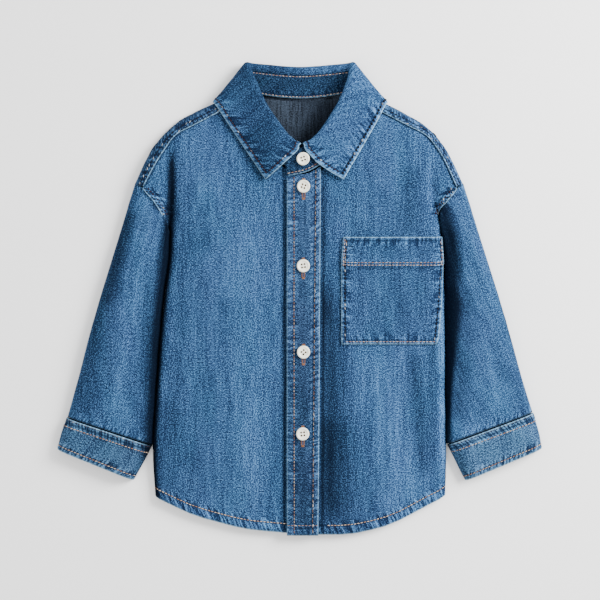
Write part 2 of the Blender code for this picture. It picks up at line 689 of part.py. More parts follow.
def pocket():
    """The patch pocket, made from the front's own face, moved out."""
    sides = np.array(POCKET_SIDES)
    top, bottom = sides[0, 0], sides[-1, 0]
    y = np.concatenate([np.linspace(top, POCKET_BAND + 0.6, 5), [POCKET_BAND - 0.6],
                        np.linspace(POCKET_BAND - 7.0, bottom, 9)])
    left = np.interp(-y, -sides[:, 0], sides[:, 1])
    right = np.interp(-y, -sides[:, 0], sides[:, 2])
    across = np.concatenate([np.linspace(0.0, 0.84, 9), [0.90, 0.95, 0.98, 1.0]])
    x = left[:, None] + (right - left)[:, None] * across[None, :]
    rise = np.where(y > POCKET_BAND, POCKET_BAND_RISE, 0.0)
    lift = SEAM_GAP + POCKET_WALL + rise[:, None]
    points = moved_out(x, np.repeat(y[:, None], len(across), 1), lift)
    return bank(points[::-1], "denim", "pocket", POCKET_WALL)


def button(name, x, y, seat):
    """A turned disc with a raised rim."""
    profile = ((0.0, 0.0), (0.86, 0.0), (1.0, 0.3), (1.0, 0.72), (0.9, 1.0),
               (0.74, 1.0), (0.64, 0.78), (0.0, 0.74))
    mesh = bmesh.new()
    line = [mesh.verts.new((r * BUTTON_RADIUS * MM, 0.0, h * BUTTON_HEIGHT * MM))
            for r, h in profile]
    edges = [mesh.edges.new(pair) for pair in zip(line[:-1], line[1:])]
    bmesh.ops.spin(mesh, geom=line + edges, cent=(0, 0, 0), axis=(0, 0, 1),
                   angle=2 * math.pi, steps=BUTTON_SIDES, use_merge=True)
    bmesh.ops.remove_doubles(mesh, verts=mesh.verts[:], dist=0.00001)
    bmesh.ops.recalc_face_normals(mesh, faces=mesh.faces[:])
    data = bpy.data.meshes.new(name)
    mesh.to_mesh(data)
    mesh.free()
    data.shade_smooth()
    data.set_sharp_from_angle(angle=math.radians(40))
    data.materials.append(finish("ivory"))
    obj = bpy.data.objects.new(name, data)
    obj.location = (x * MM, y * MM, seat * MM)
    bpy.context.scene.collection.objects.link(obj)
    return obj


def buttons():
    reach = np.array([-BUTTON_RADIUS, 0.0, BUTTON_RADIUS])
    for number, (x, y) in enumerate(BUTTONS, start=1):
        below = front_top(x + reach[:, None], y + reach[None, :]).max()
        seat = below + SEAM_GAP + BAND_WALL + SEAM_GAP
        if number == 1:
            seat = NECK_SEAM[-1][2] + WALL + 2 * SEAM_GAP
        button(f"button_{number}", x, y, seat)


def main():
    clear_scene()
    back_panel()
    front_panel("right_front", RIGHT_FRONT)
    front_panel("left_front", LEFT_FRONT)
    placket()
    pressed_tube("right_sleeve", "denim_shade", RIGHT_SLEEVE, 15, SLEEVE_FOLDS, RIGHT_ARMHOLE)
    pressed_tube("left_sleeve", "denim", LEFT_SLEEVE, 15, SLEEVE_FOLDS, LEFT_ARMHOLE)
    pressed_tube("right_cuff", "denim_shade", RIGHT_CUFF, 4)
    pressed_tube("left_cuff", "denim", LEFT_CUFF, 4)
    collar_stand()
    collar_fall()
    pocket()
    buttons()


main()
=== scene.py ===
"""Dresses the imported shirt: denim, topstitching, buttonholes and buttons.

The tables are in millimetres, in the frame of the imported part: the shirt lies on
its back, +Z up, +Y towards the collar and -X to the wearer's right sleeve.
"""

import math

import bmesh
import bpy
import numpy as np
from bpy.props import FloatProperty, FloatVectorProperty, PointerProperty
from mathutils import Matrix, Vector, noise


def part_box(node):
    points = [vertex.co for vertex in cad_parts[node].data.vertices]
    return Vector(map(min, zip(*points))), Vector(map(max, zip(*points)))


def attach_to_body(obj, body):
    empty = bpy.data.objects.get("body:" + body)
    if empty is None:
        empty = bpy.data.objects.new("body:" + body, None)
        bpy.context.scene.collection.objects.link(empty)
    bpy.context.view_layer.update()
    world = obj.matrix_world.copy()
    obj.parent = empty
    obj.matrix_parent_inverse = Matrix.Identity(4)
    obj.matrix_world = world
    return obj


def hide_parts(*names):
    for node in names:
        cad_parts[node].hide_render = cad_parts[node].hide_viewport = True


bl_info = {
    "name": "Child's Denim Shirt",
    "version": (1, 0, 0),
    "blender": (4, 5, 0),
    "location": "View3D > Sidebar > Shirt",
    "description": "Builds the cloth, the sewing and the buttons of a small denim shirt",
    "category": "Object",
}

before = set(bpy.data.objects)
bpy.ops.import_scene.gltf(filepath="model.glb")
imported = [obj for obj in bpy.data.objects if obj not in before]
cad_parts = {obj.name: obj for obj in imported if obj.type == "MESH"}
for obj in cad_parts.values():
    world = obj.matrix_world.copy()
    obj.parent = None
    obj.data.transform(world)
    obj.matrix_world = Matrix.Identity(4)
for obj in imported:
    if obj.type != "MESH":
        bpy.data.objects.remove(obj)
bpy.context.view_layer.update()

BODY = "root"
MM = 0.001

# ------------------------------------------------
# Sizes
# ------------------------------------------------

WALL = 1.2            # one ply of denim with its seam allowances
SEAM_GAP = 0.4        # air between two pieces at a seam
POCKET_WALL = 1.4
BAND_WALL = 1.8       # the placket, folded double
EDGE_LIFT = 2.2       # where the front's side edge ends, over the back
SIDE_ROLL = 13.0      # how far in the soft roll of a shoulder or sleeve fold reaches
CREASE_ROLL = 7.0     # the same for the body's side folds
WIDENS = 14.0         # over what length above the underarm that roll widens again
LOFT = 10.4           # how high the front stands over the back at the chest
HEM_LOFT = 5.6        # the same at the hem
HEM_FADE = 62.0       # over what length the hem's loft grows to the chest's
FOLD_FADE = 12.0      # over what length above the hem the soft folds grow
VALLEY_TOP = 140.0    # where the crease between body and shoulder begins
UNDERARM = 56.0       # where that crease has parted body from sleeve
FLOOR = -0.2          # the floor's height, just under the shirt
FAR = 0.2             # metres: as good as no seam
PUCKER = 5.2          # from one pucker to the next along a seam
PUCKER_SLANT = 0.55   # how far a pucker leans along the seam, to its way out from it
PUCKER_BEND = 2.4     # how unevenly the puckers follow each other, in radians
COARSE, MEDIUM, SMALL = 26.0, 11.0, 9.0  # sizes of the cloth's unevenness
HEM_ROW = 8.4         # from the hem's edge up to its row of stitches

# Painted shade in the deep creases: where it begins to darken, over what length, and how dark it
# gets.
CREASE_DARK = (147.0, 38.0, 1.25)   # between the body and the right sleeve
VALLEY_DARK = (104.0, 26.0, 0.92)   # in the left sleeve's valley
# The widths below are those of the painted shade.
CREASE_WIDTH = 3.2    # how wide the right crease is on the body's side of the edge
OUTER_WIDTH = (4.2, 4.6)      # its width beyond the edge: high up, and how much more low down
OUTER_WIDENS = (100.0, 70.0)  # below which height it widens, and over what length
VALLEY_CORE = (2.0, 5.5)      # width of the valley's dark core: low down, and how much more high up
VALLEY_EDGE = (4.0, 9.0)      # the same for the soft edge beside it
VALLEY_WIDENS = (-110.0, 130.0)
SHADE_FADE = 0.15     # share of a shading stroke over which its ends fade

# Grids
ROLL_STEPS = np.array([0.0, 0.4, 1.0, 1.8, 2.8, 4.0, 5.6, 7.6, 10.0, 13.0])
UNDER_STEPS = ((2.4, 0.0), (1.4, 0.15), (0.5, 0.5))  # under the shoulder's fold: in, up
OVER_STEPS = (0.0, 0.3, 0.9, 1.8, 2.8, 4.0, 5.4)     # over it: in
FINE = 2.0            # usual spacing of a fine grid
FRONT_ROWS = 200
FULL_WIDTH = 140.0
NARROW = 120.0        # rows shorter than this draw their fine columns together
SHOULDER_ROWS = 46
SLEEVE_RINGS = 110
CUFF_RINGS = 22
COLLAR_STATIONS = 193
ROLL_POINTS = 9
LEAF_POINTS = 26
STAND_POINTS = 13
PLACKET_ROWS = 190
PLACKET_COLUMNS = 20
UNDER_PASSES = 8      # how often the hidden underside of a tube is evened out

# ------------------------------------------------
# Outlines and folds
# ------------------------------------------------

BODY_EDGE = (  # y, right_x, left_x
    (-178, -129.4, 131), (-163, -131, 131.6), (-145, -131.6, 131.8), (-127, -131.2, 131.6),
    (-109, -130.6, 131.4), (-91, -129.3, 131.2), (-73, -128, 131.1), (-55, -126.8, 131),
    (-37, -125.3, 130.9), (-19, -123.7, 130.6), (-1, -121.9, 130.2), (17, -119.6, 130),
    (35, -117.2, 129.6), (53, -116.3, 128.2), (60, -116, 126.7), (66, -115.8, 125.2),
    (77, -115.5, 122.6), (107, -114.6, 118.6), (140, -113.6, 117),
)
HEM = (  # x, y
    (-129.4, -178), (-125.6, -180.2), (-112, -186.8), (-98.6, -193), (-85, -197.6), (-71.6, -201.2),
    (-58, -204.8), (-44.6, -207.4), (-31, -208.8), (-12, -210.4), (18, -212), (36.5, -212),
    (50, -210.8), (63.5, -208), (77, -204.4), (90.5, -198.8), (104, -191.6), (117.5, -184.4),
    (124, -181.2), (131, -177),
)
RIGHT_FRONT = (  # inner_x, inner_y, outer_x, outer_y
    (13, -211.7, -129.4, -178), (13, -170, -131.6, -145), (13, -125, -130.6, -109),
    (13, -80, -128, -73), (13, -32, -124.7, -30), (13, 17, -119.6, 17), (13, 56, -116.2, 56),
    (13, 85, -119.8, 71.8), (13, 99, -128.3, 86.4), (13, 109, -138.8, 99.2),
    (0, 112, -136.6, 105.6), (-15, 118, -130, 119), (-28, 129, -120.8, 134),
    (-39, 144, -110.6, 146), (-47, 158, -94, 155.3), (-51, 168, -75.2, 165.2), (-52, 176, -58, 174),
)
LEFT_FRONT = (  # inner_x, inner_y, outer_x, outer_y
    (15, -211.8, 131, -177), (15, -170, 131.8, -145), (15, -125, 131.4, -109),
    (15, -80, 131.1, -73), (15, -32, 130.8, -30), (15, 17, 130, 17), (15, 56, 127.6, 56),
    (15, 83, 122.8, 76.4), (15, 99, 130.4, 87), (16, 110, 139, 98.2), (22, 117, 137.2, 106),
    (29, 126, 132.4, 118.6), (37, 137, 124.6, 131.6), (45, 150, 113.4, 145), (51, 162, 96.8, 154.2),
    (53, 170, 77.9, 164), (53.5, 177, 60, 174),
)
LAP = 2.0             # how far a front laps over the sleeve at the armhole
LAP_RISE = 1.3        # how much it rises there
LAP_REACH = 6.0       # from how far in
LAP_ENDS = ((58.0, 8.0), (101.0, -3.0))  # where the lap ends, and over what length
ARMHOLE_LOW = 74.0    # between which heights a side edge lies on the armhole seam
ARMHOLE_HIGH = 99.5

SHOULDER_RIGHT = (  # fold_x, fold_y, seam_x, seam_y
    (-147.4, 104.8, -138.2, 102.2), (-137.2, 126.5, -129, 119.6), (-128.2, 140.6, -119.6, 134.2),
    (-112, 156.8, -109.8, 146.4), (-97.2, 166.1, -94, 155), (-74.8, 176.4, -75.2, 164.8),
    (-51.6, 186, -55, 175.4),
)
SHOULDER_LEFT = (  # fold_x, fold_y, seam_x, seam_y
    (146.4, 104.8, 139.2, 101.8), (137.2, 124.4, 131.8, 118.4), (127.6, 140.2, 124.4, 131.8),
    (113.9, 154.6, 113.4, 145.2), (97.4, 165, 96.8, 154.4), (76.2, 175.9, 77.9, 164.2),
    (52.6, 186, 56, 175.4),
)
NECKLINE = (
    (-51.6, 186), (-36, 182.6), (0, 179.2), (36, 182.6), (52.6, 186),
)
BACK_TUCK = 0.4       # how far the back's side runs out under the sleeve
DIP_FADE = 40.0       # over what length below the neck its curve dies away
RIDE = 1.8            # how high the back rides over the collar's fall
RIDE_ABOVE = (146.0, 12.0)  # from which height, and over what length it rises
RIDE_WITHIN = (82.0, 10.0)  # up to how far from the middle, and over what it falls

RIGHT_SLEEVE = (  # outer_x, outer_y, inner_x, inner_y, loft, inner_roll
    (-148, 103.9, -116.9, 58.6, 9.6, 9), (-158.9, 68, -118.1, 34, 10.6, 9),
    (-170, 32, -121.6, 8, 11.6, 8), (-181, -4, -124.6, -20, 12, 8),
    (-190.5, -38, -127.2, -50, 12.2, 8), (-199.5, -73, -130, -90, 11.6, 8),
    (-208.8, -106.2, -132.1, -131.4, 10.4, 8),
)
LEFT_SLEEVE = (  # outer_x, outer_y, inner_x, inner_y, loft, inner_roll
    (147.4, 103.8, 127.5, 60, 9.6, 20), (157.8, 70.5, 130.4, 34, 10.6, 24),
    (168.8, 36, 130.9, 8, 11.6, 22), (179.8, 1, 131.3, -20, 12, 16),
    (190.6, -36, 131.7, -50, 12.2, 12), (200.8, -73, 131.9, -90, 11.6, 9),
    (209.8, -102, 132.4, -130.6, 10.4, 8),
)
RIGHT_CUFF = (  # outer_x, outer_y, inner_x, inner_y, loft, inner_roll
    (-209.6, -107, -132.7, -132.4, 11.2, 13), (-213.2, -117.2, -138.4, -143.6, 11.4, 13),
    (-216.2, -127, -143.8, -153.6, 11, 13), (-218, -135.4, -149.2, -163.2, 10, 13),
)
LEFT_CUFF = (  # outer_x, outer_y, inner_x, inner_y, loft, inner_roll
    (210.6, -102.8, 133, -131.6, 11.2, 13), (213.8, -113.8, 138.8, -142.8, 11.4, 13),
    (216.6, -124.4, 143.8, -153.2, 11, 13), (218.2, -134.6, 149.2, -163.6, 10, 13),
)
RIGHT_ARMHOLE = (  # x, y
    (-148, 103.9), (-139.6, 98.4), (-128.9, 85.8), (-120.4, 71.4), (-116.9, 58.6),
)
LEFT_ARMHOLE = (  # x, y
    (147.4, 103.8), (140.2, 97.6), (131.8, 86.6), (125.9, 75.6), (127.5, 60),
)
SLEEVE_TUCK = 0.6     # how far a sleeve's inner edge runs in under the body's side
RING_REACH = 0.22     # share of the sleeve over which the armhole's curve dies away

FRONT_FOLDS = (  # x, y, end_x, end_y, width, height
    (30, -20, 33, -196, 9, -1.7), (48, -60, 50, -190, 11, 0.8), (-22, 60, -24, -190, 9, -0.9),
    (-46, 20, -52, -170, 12, 0.8), (-84, 40, -92, -150, 12, -0.9), (-104, -20, -108, -150, 9, 0.8),
    (-100, 66, -66, 18, 9, -0.8), (-92, 118, -74, 60, 12, 0.7), (104, 78, 74, 66, 10, -0.6),
    (92, -60, 96, -168, 12, -0.9), (74, 128, 60, 72, 12, 0.7), (116, -50, 118, -160, 8, 0.6),
)
SLEEVE_FOLDS = (  # along, across, end_along, end_across, width, height
    (0.02, 0.72, 0.34, 0.8, 0.1, -1.5), (0.05, 0.45, 0.45, 0.52, 0.12, 0.7),
    (0.3, 0.62, 0.72, 0.66, 0.1, -1), (0.55, 0.3, 0.95, 0.34, 0.12, -0.9),
    (0.6, 0.82, 0.98, 0.8, 0.08, 0.6),
)

PLACKET_LEFT = -11.3
PLACKET_RIGHT = (19.2, 16.9)  # at the top, at the hem
PLACKET_TOP = ((-11.3, 107.4), (9.0, 112.4), (19.2, 118.0))  # x, y under the stand
PLACKET_END = -212.6

POCKET_SIDES = (  # y, left_x, right_x
    (-41, 37.8, 123), (-34, 37.4, 124.4), (-8, 37.3, 126.2), (27, 37.3, 127.4), (32, 37.3, 127.6),
    (55, 39, 126),
)
POCKET_BAND = 31.0
POCKET_BAND_RISE = 0.5

COLLAR = (  # roll_x, roll_y, roll_z, edge_x, edge_y, edge_z, turn, radius, lap
    (1.6, 138.6, 15.8, -30.4, 106, 16.4, 0, 2.9, 3.3),
    (-4.2, 142, 15.9, -38.4, 118, 16, 0, 2.8, 3.4),
    (-10.6, 147.6, 16.4, -46.2, 129.6, 15.5, 0, 2.8, 4),
    (-19.4, 159.3, 17.2, -56.8, 145.4, 15.2, 0, 3, 6),
    (-29.3, 174.2, 17.8, -67, 160.8, 15.4, 4, 3.2, 7.5),
    (-37.2, 191.4, 17, -73.4, 170.6, 14.4, 18, 3.4, 8),
    (-42.4, 204.2, 13.6, -76.8, 175, 11, 52, 3.4, 8),
    (-44.8, 210.6, 10, -78, 176.4, 6.6, 90, 3.4, 8),
    (-43.9, 211.6, 6.8, -76, 175.6, 1.2, 128, 3.4, 8),
    (-39, 211.4, 4.4, -64, 169.8, 0, 165, 3.4, 8), (-27, 210.4, 3.4, -42, 165, 0, 180, 3.4, 8),
    (-13, 209.2, 3.4, -20, 162.6, 0, 180, 3.4, 8), (0, 208.6, 3.4, 0, 162, 0, 180, 3.4, 8),
    (14, 209.2, 3.4, 21, 162.6, 0, 180, 3.4, 8), (28, 210.4, 3.4, 43, 165, 0, 180, 3.4, 8),
    (40, 211.4, 4.4, 65, 169.8, 0, 165, 3.4, 8), (44.7, 211.6, 6.8, 77.4, 175.2, 1.2, 128, 3.4, 8),
    (45.6, 210.6, 10, 79.4, 175.9, 6.6, 90, 3.4, 8),
    (44.5, 204.2, 13.6, 78.2, 174.5, 11, 52, 3.4, 8),
    (41.2, 192.2, 17, 75, 168.9, 14.4, 18, 3.4, 8),
    (34.8, 176.6, 17.8, 69.6, 158.4, 15.4, 4, 3.2, 7.5),
    (26.4, 162.4, 17.6, 61, 143.4, 15.2, 0, 3, 6), (17.4, 149.4, 17, 52.4, 128.4, 15.4, 0, 2.4, 4),
    (9.6, 142, 16.7, 45.2, 116.4, 15.8, 0, 2, 3),
    (2.6, 138.6, 16.6, 39.6, 106.2, 16.4, 0, 1.9, 2.6),
)
LEAF_BOW = (  # share of the edge, right leaf, left leaf
    (0, 0, 0), (0.05, 2.2, 2.4), (0.12, 2.4, 3.3), (0.26, 2.1, 3.8), (0.38, 1.9, 4.6),
    (0.55, 1.5, 4), (0.74, 1, 2.7), (1, 0, 0),
)
BOW_ROWS = 4.0        # rows of the collar over which the bow dies away
LEAF_SAG = 0.9        # how far a leaf arches up between its roll and its edge
STAND_BOW = 9.0       # how far the stand's upper end bows out, towards its free edge
STAND_BOW_ROWS = 3.0
NECK_SEAM = (  # x, y, z
    (9, 115, 12.4), (-1.6, 115.6, 12.4), (-13.4, 120, 12.4), (-27.2, 131, 12.6), (-38, 145.6, 12.8),
    (-46.6, 161, 12.6), (-50.2, 174, 10.8), (-49.6, 183, 8.4), (-47.4, 185.6, 6.6),
    (-40, 184.6, 5.2), (-28, 182.4, 4.7), (-14, 180.8, 4.6), (0, 180.2, 4.6), (14, 180.8, 4.6),
    (28, 182.4, 4.7), (41, 184.6, 5.2), (48.6, 185.6, 6.6), (50.6, 183, 8.4), (51.4, 174, 10.8),
    (48.6, 161, 12.8), (42.6, 149, 13.2), (34.6, 137.6, 13.8), (24.6, 124.6, 14.4),
    (9, 114.2, 14.8), (-10, 109.4, 15),
)

# Strokes of painted shade and painted light: darker in folds, creases and shadows, paler where the
# cloth faces the light; 1 is near black, below 0 is paler.
FRONT_SHADES = (  # x, y, end_x, end_y, width, shade
    (26, 22, 26.5, -215, 7.5, 0.55), (24, 120, 26, -30, 8, 0.2), (-146, 110, -114, 60, 5, -0.34),
    (148, 104, 126, 62, 5, -0.3), (66, -30, 103, -222, 13, -0.44), (52, 70, 50, -10, 12, 0.1),
    (103, -40, 111, -165, 6, 0.36), (34, -100, 38, -250, 21, 0.24),
    (127.4, 40, 128.4, -170, 3.2, -0.75), (119, 60, 119, -160, 4.5, 0.2),
    (118, 132, 117, 84, 3, -0.3), (101, 124, 98, 50, 10, 0.26), (-107, 150, -112, -160, 8, 0.18),
    (-122, -80, -121, -260, 12, 0.26), (-91, 90, -93, -190, 13, 0.16),
    (-70, 20, -72, -190, 5, 0.05), (-52, 90, -44, -225, 13, -0.32), (-26, 60, -27, -200, 5, 0.06),
    (-13.6, 150, -13.6, -260, 1.7, 0.85), (22, 150, 20, -260, 1.6, 0.55),
    (-80, 186, -26, 98, 8, 0.36), (72, 150, 74, -260, 46, 0.08), (36, 0, 40, -215, 11, 0.22),
)
SLEEVE_SHADES = (  # x, y, end_x, end_y, width, shade
    (-152, 60, -186, -120, 40, 0.1), (-134, -10, -142, -90, 6, 0.12),
    (-149, 86, -175, -12, 9, 0.56), (-174, 6, -196, -120, 13, 0.34),
    (-136, 70, -152, -14, 8, -0.26), (-151, 4, -160, -116, 8, -0.26), (166, 20, 184, -110, 8, -0.2),
    (146, 14, 143, -116, 9, 0.4), (184, 0, 203, -116, 5, 0.12), (176, 90, 190, -120, 40, 0.13),
)
BACK_SHADES = (  # x, y, end_x, end_y, width, shade
    (-140, 60, -70, 220, 30, 0.16), (30, 190, -10, 60, 24, 0.6),
)
CUFF_SHADES = (  # x, y, end_x, end_y, width, shade
    (170, 0, 180, -260, 40, -0.3), (-230, -104, -120, -146, 5, 0.22),
)
COLLAR_SHADES = (  # x, y, end_x, end_y, width, shade
    (-34, 260, -34, 40, 36, 0.48), (66, 200, 30, 60, 22, 0.02),
)
PLACKET_SHADES = (  # x, y, end_x, end_y, width, shade
    (4, 20, 4, -300, 30, 0.26), (3, 200, 3, -300, 6, 0.22), (-11.6, 300, -11.6, -400, 1.2, -0.24),
    (18, 300, 16.6, -400, 1.4, -0.24), (-40, -207.4, 40, -207.4, 2.6, -0.26),
)
POCKET_SHADES = (  # x, y, end_x, end_y, width, shade
    (60, 80, 60, -90, 30, 0.12), (88, 80, 88, -90, 60, 0.07), (112, 70, 112, -80, 8, 0.16),
    (92, 10, 95, -60, 4, 0.18), (0, 27.6, 170, 27.6, 1.8, 0.34), (0, 34.6, 170, 34.6, 1.6, -0.2),
    (0, -37.2, 170, -37.2, 1.4, -0.2),
)

BUTTONS = (  # x, y, turn of its holes in degrees
    (3.2, 124.6, 20), (3.6, 100.2, 70), (3.4, 29.2, 8), (3.6, -47.9, 40), (2.9, -120.9, 5),
)
BUTTON_PROFILE = (  # share of the radius, share of the height
    (0.0, 0.0), (0.80, 0.0), (0.93, 0.10), (0.99, 0.28), (1.0, 0.50), (0.985, 0.74),
    (0.94, 0.91), (0.87, 0.99), (0.80, 1.0), (0.73, 0.95), (0.67, 0.84), (0.60, 0.77),
    (0.50, 0.745), (0.0, 0.74),
)
DISH = 0.74           # how high the button's dish lies, as a share of its height
DRILL_AT = 0.325      # from the middle to a hole, as a share of the radius
DRILL_RADIUS = 0.155  # the hole's own radius, as the same share
HOLE_APART = 1.34     # from a button's middle to its threads, along and across
CROSSING = (3.0, 0.3)  # length and thickness of the thread on a button
POST = (2.2, 0.7)      # the same down a hole
HOLE_ABOVE = 7.2      # how far a buttonhole reaches above its button's middle
HOLE_BELOW = 11.6     # and below it
HOLE_WIDTH = 3.3
HOLE_PITCH = 0.62     # from one satin bar to the next, and the bar's thickness
HOLE_SIDE = 1.25      # from the middle of a buttonhole to its side bars
HOLE_END = 1.6        # length of the bars across each end
HOLE_LIFT = 0.12      # how high the bars' middle lies over the placket
SLIT = (1.9, 16.2, 0.3)  # the dark slit: across, up and through the cloth
SLIT_LIFT = 0.06
FLATTENED = 0.9       # a stitch's height as a share of its width
STITCH_REACH = 0.36   # from a stitch's middle to its ends, as a share of the pitch
STITCH_LENGTH = (0.74, 0.86)  # how long it is drawn, from and to, as a share of the pitch
STITCH_LEAN = 0.06    # how far it may turn aside

LIGHTS = (  # name, place and size in metres, power
    ("key", (1.15, 0.55, 0.85), 0.7, 66.0),
    ("fill", (-0.9, -0.5, 1.4), 1.4, 8.0),
)
SKY = 1.3             # how strong the even light from all round is
SENSOR = 36.0         # the camera's sensor, as wide as its lens is measured for
AIM = (0.45, -1.35, 4.0)  # the middle of the picture, on the shirt's front


# ------------------------------------------------
# The form of the shirt as it lies
# ------------------------------------------------

def smooth_rows(table, count, parameters=None):
    """The table's rows as a smooth curve, read at count even steps."""
    rows = np.array(table, float)
    if parameters is None:
        parameters = np.linspace(0.0, len(rows) - 1.0, count)
    slopes = np.gradient(rows, axis=0)
    index = np.clip(parameters.astype(int), 0, len(rows) - 2)
    t = (parameters - index)[:, None]
    h00 = 2 * t**3 - 3 * t**2 + 1
    h10 = t**3 - 2 * t**2 + t
    h01 = -2 * t**3 + 3 * t**2
    h11 = t**3 - t**2
    return (h00 * rows[index] + h10 * slopes[index] + h01 * rows[index + 1]
            + h11 * slopes[index + 1])


def ease(value):
    value = np.clip(value, 0.0, 1.0)
    return value * value * (3.0 - 2.0 * value)


def between(first, last, share):
    return first + (last - first) * share


def read(table, value, column=1):
    """The table's column at value, which its first column holds in rising order."""
    rows = np.array(table, float)
    return np.interp(value, rows[:, 0], rows[:, column])


def rounded(distance, width):
    """From 0 at an edge, upright there, to 1 at width from it."""
    inward = np.clip(distance / width, 0.0, 1.0)
    return np.sqrt(np.maximum(1.0 - (1.0 - inward) ** 2, 0.0))


def distance_to(x, y, line):
    """How far each point is from a line of straight stretches."""
    x, y = np.broadcast_arrays(np.asarray(x, float), np.asarray(y, float))
    nearest = np.full(x.shape, 1e9)
    for (ax, ay), (bx, by) in zip(line[:-1], line[1:]):
        dx, dy = bx - ax, by - ay
        t = np.clip(((x - ax) * dx + (y - ay) * dy) / (dx * dx + dy * dy), 0.0, 1.0)
        nearest = np.minimum(nearest, np.hypot(x - ax - t * dx, y - ay - t * dy))
    return nearest


def fold_height(x, y, folds, fade_share=0.3):
    """The sum of the soft folds, each fading out at its ends."""
    total = np.zeros(np.broadcast(x, y).shape)
    for ax, ay, bx, by, width, height in folds:
        dx, dy = bx - ax, by - ay
        t = ((x - ax) * dx + (y - ay) * dy) / (dx * dx + dy * dy)
        side = (x - ax - t * dx) ** 2 + (y - ay - t * dy) ** 2
        fade = ease(t / fade_share) * ease((1.0 - t) / fade_share)
        total = total + height * fade * np.exp(-side / (width * width))
    return total


RIGHT_FOLD = [row[:2] for row in SHOULDER_RIGHT[::-1] + RIGHT_SLEEVE]
LEFT_FOLD = [row[:2] for row in SHOULDER_LEFT[::-1] + LEFT_SLEEVE]
RIGHT_CREASE = [(row[1], row[0]) for row in BODY_EDGE]
LEFT_CREASE = [(row[2], row[0]) for row in BODY_EDGE]


def front_top(x, y):
    """How high the fronts' outer face lies over the surface."""
    x, y = np.broadcast_arrays(np.asarray(x, float), np.asarray(y, float))
    fold = np.minimum(distance_to(x, y, RIGHT_FOLD), distance_to(x, y, LEFT_FOLD))
    crease = np.minimum(distance_to(x, y, RIGHT_CREASE), distance_to(x, y, LEFT_CREASE))
    parted = ease((VALLEY_TOP - y) / (VALLEY_TOP - UNDERARM))
    from_hem = y - read(HEM, x)
    loft = between(HEM_LOFT, LOFT, ease(from_hem / HEM_FADE))
    reach = between(CREASE_ROLL, SIDE_ROLL, ease((y - UNDERARM) / WIDENS))
    side = rounded(fold, SIDE_ROLL) * (1.0 - parted * (1.0 - rounded(crease, reach)))
    soft = fold_height(x, y, FRONT_FOLDS) * ease(crease / CREASE_ROLL)
    return EDGE_LIFT + loft * side + soft * ease(from_hem / FOLD_FADE + 0.3)


def hemmed(x, y, chord):
    """y, drawn to the hem's curve at the chord and less above it."""
    return y + (read(HEM, x) - chord) * ease(1.0 - (y - chord) / HEM_FADE)


def moved_out(x, y, lift):
    """Points at the fronts' outer face, moved out along its normal."""
    step = 0.6
    rise_x = (front_top(x + step, y) - front_top(x - step, y)) / (2 * step)
    rise_y = (front_top(x, y + step) - front_top(x, y - step)) / (2 * step)
    length = np.sqrt(1.0 + rise_x**2 + rise_y**2)
    return np.stack([x - rise_x / length * lift, y - rise_y / length * lift,
                     front_top(x, y) + lift / length], axis=-1)


# ------------------------------------------------
# Grids of cloth
# ------------------------------------------------

def line_lengths(points, axis):
    """Running length along the rows or columns of a grid, in metres."""
    step = np.linalg.norm(np.diff(points, axis=axis), axis=-1) * MM
    pad = [(0, 0), (0, 0)]
    pad[axis] = (1, 0)
    return np.pad(np.cumsum(step, axis=axis), pad)


def seam_map(points, *sides):
    """(along, away) in metres from the nearest sewn side.

    A side is a name, or (name, start, stop) where it is sewn in part.
    """
    across, down = line_lengths(points, 1), line_lengths(points, 0)
    edges = {"low_column": (across, down[:, :1]),
             "high_column": (across[:, -1:] - across, down[:, -1:]),
             "low_row": (down, across[:1]),
             "high_row": (down[-1:] - down, across[-1:])}
    away = np.full(across.shape, FAR)
    along = np.zeros(across.shape)
    rows = np.linspace(0.0, 1.0, len(points))[:, None]
    for entry in sides:
        side, start, stop = (entry, 0.0, 1.0) if isinstance(entry, str) else entry
        this, run = edges[side]
        if "column" in side:
            this = np.where((rows >= start) & (rows <= stop), this, FAR)
        along = np.where(this < away, run, along)
        away = np.minimum(this, away)
    return np.stack([along, away], axis=-1)


def weave_map(points):
    """Running lengths across and along the piece, in metres."""
    return np.stack([line_lengths(points, 1), line_lengths(points, 0)], axis=-1)


def plan_map(points):
    return points[..., :2] * MM


def crease_shade(x, y, on_sleeve):
    """Painted shade: how dark the deep creases between the body and the sleeves are painted."""
    right = distance_to(x, y, RIGHT_CREASE)
    start, over = OUTER_WIDENS
    outer = OUTER_WIDTH[0] + OUTER_WIDTH[1] * ease((start - y) / over)
    width = np.where(x < read(BODY_EDGE, y), outer, CREASE_WIDTH)
    start, over, depth = CREASE_DARK
    total = depth * np.exp(-((right / width) ** 2)) * ease((start - y) / over) * (x < 0)
    if on_sleeve:
        left = distance_to(x, y, LEFT_CREASE)
        start, over = VALLEY_WIDENS
        high = ease((y - start) / over)
        core, fall = (low + more * high for low, more in (VALLEY_CORE, VALLEY_EDGE))
        start, over, depth = VALLEY_DARK
        valley = depth * (1.0 - ease((left - core) / fall))
        total = total + valley * ease((start - y) / over) * (x > 0)
    return total


def shade_map(points, lines, on_sleeve=False, creased=True):
    """(darker, paler) at each point, both from 0 to 1: painted shade and painted light."""
    x, y = points[..., 0], points[..., 1]
    shade = fold_height(x, y, lines, SHADE_FADE)
    if creased:
        shade = shade + crease_shade(x, y, on_sleeve)
    return np.clip(np.stack([shade, -shade], axis=-1), 0.0, 1.0)


def normals_of(points):
    normal = np.cross(np.gradient(points, axis=1), np.gradient(points, axis=0))
    length = np.linalg.norm(normal, axis=-1, keepdims=True)
    return normal / np.maximum(length, 1e-9)


def field(points, size, seed):
    """A smooth uneven value from -1 to 1 at each point; size is in millimetres."""
    shift = Vector((seed * 7.3, seed * 3.1, seed * 5.7))
    values = [noise.noise(Vector(p) / size + shift) for p in points.reshape(-1, 3)]
    return np.array(values).reshape(points.shape[:2])


